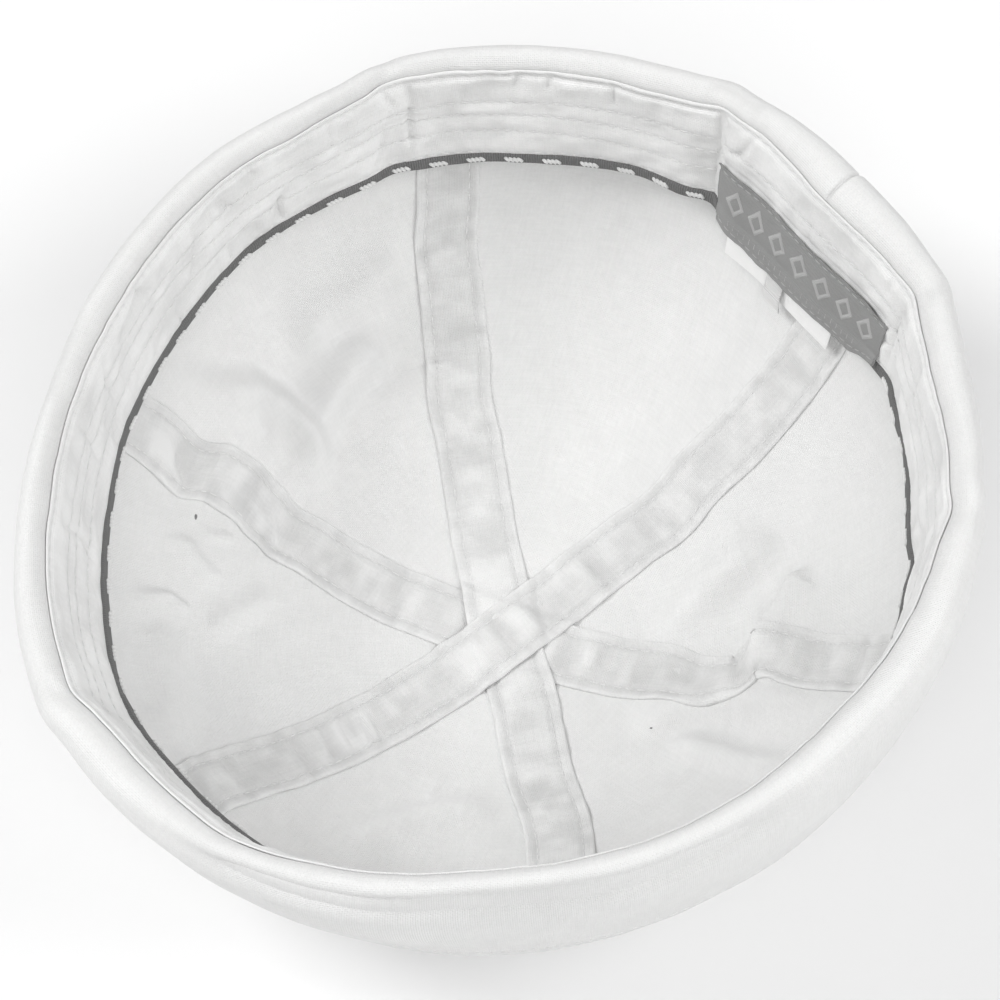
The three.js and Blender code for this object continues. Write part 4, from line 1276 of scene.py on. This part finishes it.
def binding():
    angle = np.linspace(0, 360, BINDING_STATIONS, endpoint=False)[:, None]
    share, height = np.array(BINDING_SECTION).T
    depth = mix(BINDING_OUTER, BINDING_INNER, share)[None] + binding_wave(angle, height[None])
    points = beside(angle, height[None], depth)
    around = np.linspace(0, WAY_ROUND, BINDING_STATIONS + 1)[:, None]
    lengths = np.concatenate([[0], np.cumsum(np.hypot(np.diff(share) * 2, np.diff(height)))])
    loop_piece("binding_ribbon", points, grid_uv(around, lengths[None]), BINDING_RIBBON,
               "sweatband_binding", hoop=True)


# The binding's pale marks: the pitch of their groups, the step in a group, how far each leans and its heights
MARK_PITCH = 8.5
MARKS_IN_GROUP = 4
MARK_STEP = 0.95
MARK_SLANT = 0.62
MARK_HEIGHTS = (1.3, 2.7)
MARK_SUNK = 0.7  # on the left of the cap the ribbon turns up, and the marks show this much lower on it
MARK_RADIUS = 0.5
MARK_DIP = 0.05


def on_ribbon(angle, height):
    return beside(angle, height, BINDING_INNER + 0.02 + binding_wave(angle, height))


def binding_marks():
    """Small pale slanted marks woven into the binding, four in a group."""
    groups = round(WAY_ROUND / MARK_PITCH)
    centre = (np.arange(groups) + 0.5) * 360 / groups
    offset = (np.arange(MARKS_IN_GROUP) - (MARKS_IN_GROUP - 1) / 2) * MARK_STEP / MM_PER_DEGREE
    angle = (centre[:, None] + offset[None]).ravel()
    slant = MARK_SLANT / MM_PER_DEGREE
    sunk = MARK_SUNK * smoothstep(angle, 140, 185) * (1 - smoothstep(angle, 300, 330))
    low, high = MARK_HEIGHTS[0] - sunk, MARK_HEIGHTS[1] - sunk
    foot, head = on_ribbon(angle - slant, low), on_ribbon(angle + slant, high)
    centres = (foot + head) / 2
    along = unit(head - foot)
    around = on_ribbon(angle + 0.5, (low + high) / 2) - centres
    normals = facing(unit(np.cross(around, along)), centres, -1)
    half = np.linalg.norm(head - foot, axis=1) / 2
    threads("binding_marks", centres, along, normals, half, MARK_RADIUS, MARK_DIP, MARK_THREAD)


# Cuff

CUFF_EVEN_STATIONS = 680
CUFF_SEAM_STATIONS = 44  # more of them close to the cuff's own seam
CUFF_OUTER_POINTS = 64
CUFF_BACK_POINTS = 22


def along_rows(values, count):
    """Values at rows, as a smooth curve with count places that are even along the rows' numbers."""
    rows = values.shape[-1]
    place = np.linspace(0, rows - 1, count)
    row = np.minimum(place.astype(int), rows - 2)
    return spline(*(values[..., np.clip(row + k, 0, rows - 1)] for k in (-1, 0, 1, 2)), place - row)


def cuff():
    even = np.linspace(0, 360, CUFF_EVEN_STATIONS, endpoint=False)
    near_seam = CUFF_SEAM_AT + np.linspace(-2, 2, CUFF_SEAM_STATIONS)
    angle = np.sort(np.concatenate([even, near_seam]))[:, None]
    out, up = cuff_rows(angle[:, 0])
    out, up = along_rows(out, CUFF_OUTER_POINTS), along_rows(up, CUFF_OUTER_POINTS)
    step = np.hypot(np.diff(out, axis=1), np.diff(up, axis=1))
    place = np.concatenate([np.zeros((len(angle), 1)), np.cumsum(step, axis=1)], 1)
    along = unit(np.stack([np.gradient(out, axis=1), np.gradient(up, axis=1)], -1))
    ripple = around_noise(angle, place, CUFF_RIPPLES) * smoothstep(place, 1.5, 7)
    from_seam = (angle - CUFF_SEAM_AT) * MM_PER_DEGREE
    seam = -1.0 * bell(from_seam, 0.45) - 0.25 * smoothstep(from_seam, 0, 0.6) * bell(from_seam, 7)
    hem_row = place[:, -1:] - CUFF_HEM
    hem = -0.22 * bell(place - hem_row, 0.6)
    hollows = groove_lift(angle, place, CUFF_CREASES)
    inwards, upwards = rim_wobble(angle)
    near_rim = 1 - smoothstep(place, 1.5, 5)
    push = ripple + seam * smoothstep(place, 0.5, 3) + hem + hollows
    face_out = out - along[..., 1] * push - (inwards + 0.25) * near_rim
    face_up = up + along[..., 0] * push + upwards * near_rim
    # Pushing out is to the left of the way down, seen with the hollow on the left.
    outer = skin_at_height(angle, SEAM_HEIGHT + face_up) + outward(angle, face_out)
    columns = np.linspace(0, CUFF_OUTER_POINTS - 1, CUFF_BACK_POINTS).round().astype(int)
    thick = mix(CUFF_EDGE_THICKNESS, CUFF_THICKNESS, smoothstep(place, 0, 6))
    back_out = (out + along[..., 1] * thick)[:, columns]
    back_up = (up - along[..., 0] * thick)[:, columns]
    back = skin_at_height(angle, SEAM_HEIGHT + back_up) + outward(angle, back_out)
    sections = there_and_back(outer, back)
    mean_place = place.mean(0)
    across = np.concatenate([mean_place, 90 + mean_place[columns][::-1]])[None]
    uv = grid_uv(np.append(angle, 360)[:, None] * MM_PER_DEGREE, across)
    # Painted shade in the cuff's hollows, in the crease of its seam and along the hem's sunk row. The tone
    # also follows the ripples, partly wear and partly painted shade.
    wear_and_painted_light = PLAIN_WEAR + 0.25 * ripple + 0.2 * hollows - 1.5 * bell(from_seam, 0.4)
    wear_and_painted_light = wear_and_painted_light - 0.2 * bell(place - hem_row, 0.8)
    wear_and_painted_light = np.concatenate([wear_and_painted_light, np.full(back.shape[:2], HIDDEN_WEAR)], 1)
    loop_piece("cuff_cloth", sections, uv, CUFF_COTTON, "cuff", wear_and_painted_light, hoop=True)
    return outer, place


def cuff_stitches(outer, place):
    column = int(np.argmin(np.abs(place.mean(0) - (place[:, -1].mean() - CUFF_HEM))))
    line = hoop_line(outer, column)
    normals = facing(line_normals(line, hoop_line(outer, column + 1)), line, 1)
    sew("cuff_stitches", [(line, normals)], PALE_THREAD)


CROWN_SEWN_LOW = 0.33  # the level where the rows outside the crown begin
CROWN_SEWN_HIGH = 43.0  # the height where they end
CROWN_SEWN_DEPTH = 0.16
SEWN_POINTS = 160  # points along a row of stitches outside the crown or on the label


def crown_stitches():
    """Twin rows outside the crown, beside each seam, where the tapes are sewn on."""
    level = np.linspace(CROWN_SEWN_LOW, level_at_height(CROWN_SEWN_HIGH), SEWN_POINTS)
    rows = []
    for seam in SEAMS:
        centre = seam_angle(seam, level)
        swing = np.degrees(np.arcsin(TAPE_SEAM / local_radius(centre, level)))
        for angle in (centre - swing, centre + swing):
            rows.append((skin(angle, level, CROWN_SEWN_DEPTH), -skin_normal(angle, level)))
    sew("crown_stitches", rows, PALE_THREAD)


# Labels

LABEL_STEP = 0.4
LABEL_SCALLOP = 7.6  # the length of a scallop of the upper hem
LABEL_ROWS = (0.7, 16.4)  # heights of its stitched rows
LABEL_OVER_BINDING = 4.45  # its depth where it passes over the binding
LABEL_THICKNESS = 0.55
LABEL_CORNER = (6, 4.2)  # how far along from its left end its lower edge rises, in degrees, and by how much
NORMAL_STEP = 0.2  # the step over which a normal is found


def label_surface(angle, height, rise):
    """A face of the back label, which lies on the sweatband and over the binding, with a scalloped hem."""
    arc = angle * MM_PER_DEGREE
    scallop = 1 - 2 * np.abs(np.sin(math.pi * (arc / LABEL_SCALLOP + 0.25 * noise(arc / 9, 2.5, 56))))
    free = smoothstep(height, LABEL_ROWS[1] + 0.5, BACK_LABEL["high"])
    quilt = 0.18 * noise(arc / 5.5, height / 5, 52) + 0.06 * noise(arc / 2, height / 3, 53)
    sunk = sum(bell(height - row, 0.5) for row in LABEL_ROWS)
    foot = 0.25 * noise(arc / 3.1, 8.5, 54) * (1 - smoothstep(height, -1.0, 1.0))
    lift = quilt - 0.3 * sunk + free * (0.5 + 0.5 * noise(arc / 3.9, 3.5, 51) - 0.8 * scallop) + foot
    over_binding = (LABEL_OVER_BINDING - BAND_DEPTH_LOW - BAND_THICKNESS) * (1 - smoothstep(height, 3.4, 5.6))
    drop = -1.1 * free * (1 + scallop) + free * 0.3 * noise(arc / 3.9, 13.5, 55)
    # Beside its left end the label's lower edge rises to the binding's upper edge.
    corner = 1 - smoothstep(angle, BACK_LABEL["start"], BACK_LABEL["start"] + LABEL_CORNER[0])
    rising = LABEL_CORNER[1] * corner * (1 - smoothstep(height, -1, 8))
    depth = band_depth(height) + BAND_THICKNESS + 0.25 + over_binding
    return beside(angle, height + drop + rising, depth + lift + rise)


def back_label():
    span = (BACK_LABEL["end"] - BACK_LABEL["start"]) * MM_PER_DEGREE
    angle = np.linspace(BACK_LABEL["start"], BACK_LABEL["end"], int(span / LABEL_STEP))[:, None]
    height = np.arange(BACK_LABEL["low"], BACK_LABEL["high"] + 0.01, LABEL_STEP)[None]
    back_height = height[:, ::4]
    front = label_surface(angle, height, LABEL_THICKNESS)
    back = label_surface(angle, back_height, 0.0)
    sections = there_and_back(front, back)
    uv = grid_uv(angle * MM_PER_DEGREE, np.concatenate([height[0], back_height[0, ::-1]])[None])
    loop_piece("back_label_weave", sections, uv, LABEL_WEAVE, "back_label")


def on_label(angle, height):
    """Points and normals on the back label's face."""
    face = lambda aside, above: label_surface(angle + aside, height + above, LABEL_THICKNESS)
    point, step = face(0, 0), NORMAL_STEP
    normal = unit(np.cross(face(0, step) - face(0, -step), face(step, 0) - face(-step, 0)))
    return point, facing(normal, point, -1)


# The label's motif: lozenges of satin stitches between an inner and an outer outline, and dashes below them
LOZENGES = 7
LOZENGE_HALF_WIDTH = 3.1
LOZENGE_HALF_HEIGHT = 4.3
LOZENGE_MIDDLE = 10.4
LOZENGE_CORNERS = [(-1, 0), (0, 1), (1, 0), (0, -1)]
DASH_PITCH = 1.15
DASH_HEIGHTS = (2.6, 4.4)
SATIN_STEP = 0.3
SATIN_WIDTH = 1.5
SATIN_RADIUS = 0.17
SATIN_DIP = 0.08


def label_motif():
    """A woven row of plain lozenges with a row of short upright dashes under it."""
    start, end = BACK_LABEL["start"], BACK_LABEL["end"]
    corners = [(x * LOZENGE_HALF_WIDTH, y * LOZENGE_HALF_HEIGHT) for x, y in LOZENGE_CORNERS]
    inner = 1 - SATIN_WIDTH / LOZENGE_HALF_WIDTH
    feet, heads = [], []
    for at in start + (end - start) * (np.arange(LOZENGES) + 0.8) / (LOZENGES + 0.6):
        for (x0, y0), (x1, y1) in zip(corners, corners[1:] + corners[:1]):
            count = int(math.hypot(x1 - x0, y1 - y0) / SATIN_STEP)
            t = (np.arange(count) + 0.5) / count
            x, y = mix(x0, x1, t), mix(y0, y1, t)
            feet.append(grid_uv(at + x * inner / MM_PER_DEGREE, LOZENGE_MIDDLE + y * inner))
            heads.append(grid_uv(at + x / MM_PER_DEGREE, LOZENGE_MIDDLE + y))
    dashes = np.arange(start + 5, end - 2.5, DASH_PITCH)
    feet.append(grid_uv(dashes, DASH_HEIGHTS[0]))
    heads.append(grid_uv(dashes, DASH_HEIGHTS[1]))
    feet, heads = np.concatenate(feet), np.concatenate(heads)
    low, high = on_label(*feet.T)[0], on_label(*heads.T)[0]
    along = unit(high - low)
    normals = square_to(on_label(*((feet + heads) / 2).T)[1], along)
    half = np.linalg.norm(high - low, axis=1) / 2
    threads("label_motif", (low + high) / 2, along, normals, half, SATIN_RADIUS, SATIN_DIP, LABEL_THREAD)


def label_stitches():
    angle = np.linspace(BACK_LABEL["start"] + 0.4, BACK_LABEL["end"] - 0.4, SEWN_POINTS)
    rows = [on_label(angle, np.full(angle.shape, height)) for height in LABEL_ROWS]
    sew("label_stitches", rows, LABEL_THREAD)


STRIP_STEP = 0.35
STRIP_ROWS = 26
STRIP_RIB = 1.15
STRIP_FOLD = 0.09  # the rounded foot's share of a strip's length
LEVEL_LENGTH = 110  # millimetres to a level, beside the sweatband


def rounded(share):
    """The height of a quarter circle, from 0 at its edge to 1."""
    return np.sqrt(np.clip(1 - (1 - share) ** 2, 0, 1))


def skin_with_depth(angle, level, depth):
    return smooth_skin(angle, level) + skin_normal(angle, level) * depth[..., None]


def hanging_strip(name, strip, thickness, bulge, ribs, material, node):
    """A ribbon that hangs from the binding down the inside of the crown, folded at its foot."""
    start, end, low, high = (strip[key] for key in ("start", "end", "low", "high"))
    angle = np.linspace(start, end, int((end - start) * MM_PER_DEGREE / STRIP_STEP))[:, None]
    rise = np.linspace(0, 1, STRIP_ROWS)[None]
    level = mix(low, high, rise)
    lift = hang(angle, np.zeros(rise.shape)) * mix(HANGING_SLACK, 1, rise)
    swell = bulge * np.sin(math.pi * np.clip(rise * 1.15, 0, 1)) + 0.12 * noise(angle / 1.5, rise * 3 + 5, 61)
    down = rise * (high - low) * LEVEL_LENGTH
    swell = swell + ribs * np.sin(down * 2 * math.pi / STRIP_RIB)
    # The folded foot is round in section, and so are the sides.
    round_foot = rounded(np.clip(rise / STRIP_FOLD, 0, 1))
    over_care_label = smoothstep(level, CARE_LABEL["low"] - 0.045, CARE_LABEL["low"] + 0.015)
    depth = mix(strip["foot"], strip["depth"], over_care_label) + lift + swell * round_foot
    from_side = np.minimum(angle - start, end - angle) * MM_PER_DEGREE
    half = thickness / 2
    full = half * (round_foot * rounded(np.clip(from_side / 0.5, 0.02, 1)))
    front = skin_with_depth(angle, level, depth + half + full)
    back = skin_with_depth(angle, level, depth + half - full)[:, ::3]
    sections = there_and_back(front, back)
    uv = grid_uv(np.concatenate([down[0], 30 + down[0, ::3][::-1]])[None], angle * MM_PER_DEGREE)
    loop_piece(name, sections, uv, material, node)


# The cap

for number in range(len(SEAMS)):
    crown_panel(number)
crown_specks()
tape_grids = [seam_tape(tape, 100 + 10 * number) for number, tape in enumerate(TAPES)]
tape_stitches(tape_grids)
band_inner, band_angles, band_rows = sweatband()
band_stitches(band_inner, band_angles, band_rows)
binding()
binding_marks()
cuff_outer, cuff_place = cuff()
cuff_stitches(cuff_outer, cuff_place)
crown_stitches()
back_label()
label_motif()
label_stitches()
hanging_strip("care_label_satin", CARE_LABEL, 0.6, 0.4, 0.0, LABEL_SATIN, "care_label")
hanging_strip("size_tab_ribbon", SIZE_TAB, 0.5, 0.2, 0.08, TAB_RIBBON, "size_tab")


# Floor, light and camera

FLOOR_HALF = 3.0
CAMERA_AZIMUTH = 47.6
CAMERA_ELEVATION = 59.6
CAMERA_DISTANCE = 1.0
CAMERA_SENSOR = 36
CAMERA_TARGET = (np.array([-11.0, 6.6, 40.0]) + SHIFT) * METRES
CAMERA_LENS = 166.5
LIGHT_TARGET = (0, 0, 0.04)
LIGHT_DISTANCE = 1.7
# Soft lights: azimuth, elevation, size and power
LIGHTS = {
    "left_light": (-50, 50, 0.7, 14),
    "front_light": (47.6, 50, 1.0, 8),
    "right_light": (125, 42, 1.0, 11),
}
WORLD_STRENGTH = 0.42

floor_mesh = bpy.data.meshes.new("floor")
floor_corners = [(x * FLOOR_HALF, y * FLOOR_HALF, 0) for x, y in ((-1, -1), (1, -1), (1, 1), (-1, 1))]
floor_mesh.from_pydata(floor_corners, [], [(0, 1, 2, 3)])
floor_mesh.materials.append(floor_material())
new_object("floor", floor_mesh)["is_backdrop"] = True


def place_looking_at(thing, target, azimuth, elevation, distance):
    a, e = math.radians(azimuth), math.radians(elevation)
    back = Vector((math.sin(a) * math.cos(e), -math.cos(a) * math.cos(e), math.sin(e)))
    thing.location = Vector(target) + back * distance
    thing.rotation_mode = "QUATERNION"
    thing.rotation_quaternion = back.to_track_quat("Z", "Y")


camera_data = bpy.data.cameras.new("camera")
camera_data.sensor_width = CAMERA_SENSOR
camera_data.lens = CAMERA_LENS
camera = new_object("camera", camera_data)
place_looking_at(camera, CAMERA_TARGET, CAMERA_AZIMUTH, CAMERA_ELEVATION, CAMERA_DISTANCE)
bpy.context.scene.camera = camera

for light_name, (light_azimuth, light_elevation, light_size, light_power) in LIGHTS.items():
    light = bpy.data.lights.new(light_name, "AREA")
    light.shape = "DISK"
    light.size = light_size
    light.energy = light_power
    lamp = new_object(light_name, light)
    place_looking_at(lamp, LIGHT_TARGET, light_azimuth, light_elevation, LIGHT_DISTANCE)

world = bpy.data.worlds.new("studio")
bpy.context.scene.world = world
world.use_nodes = True
world.node_tree.nodes["Background"].inputs["Color"].default_value = (1, 1, 1, 1)
world.node_tree.nodes["Background"].inputs["Strength"].default_value = WORLD_STRENGTH

bpy.context.scene.view_settings.view_transform = "Standard"

boxes = {"cad": cad_box, "visual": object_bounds()}
{name: [list(corner) for corner in box] for name, box in boxes.items()}
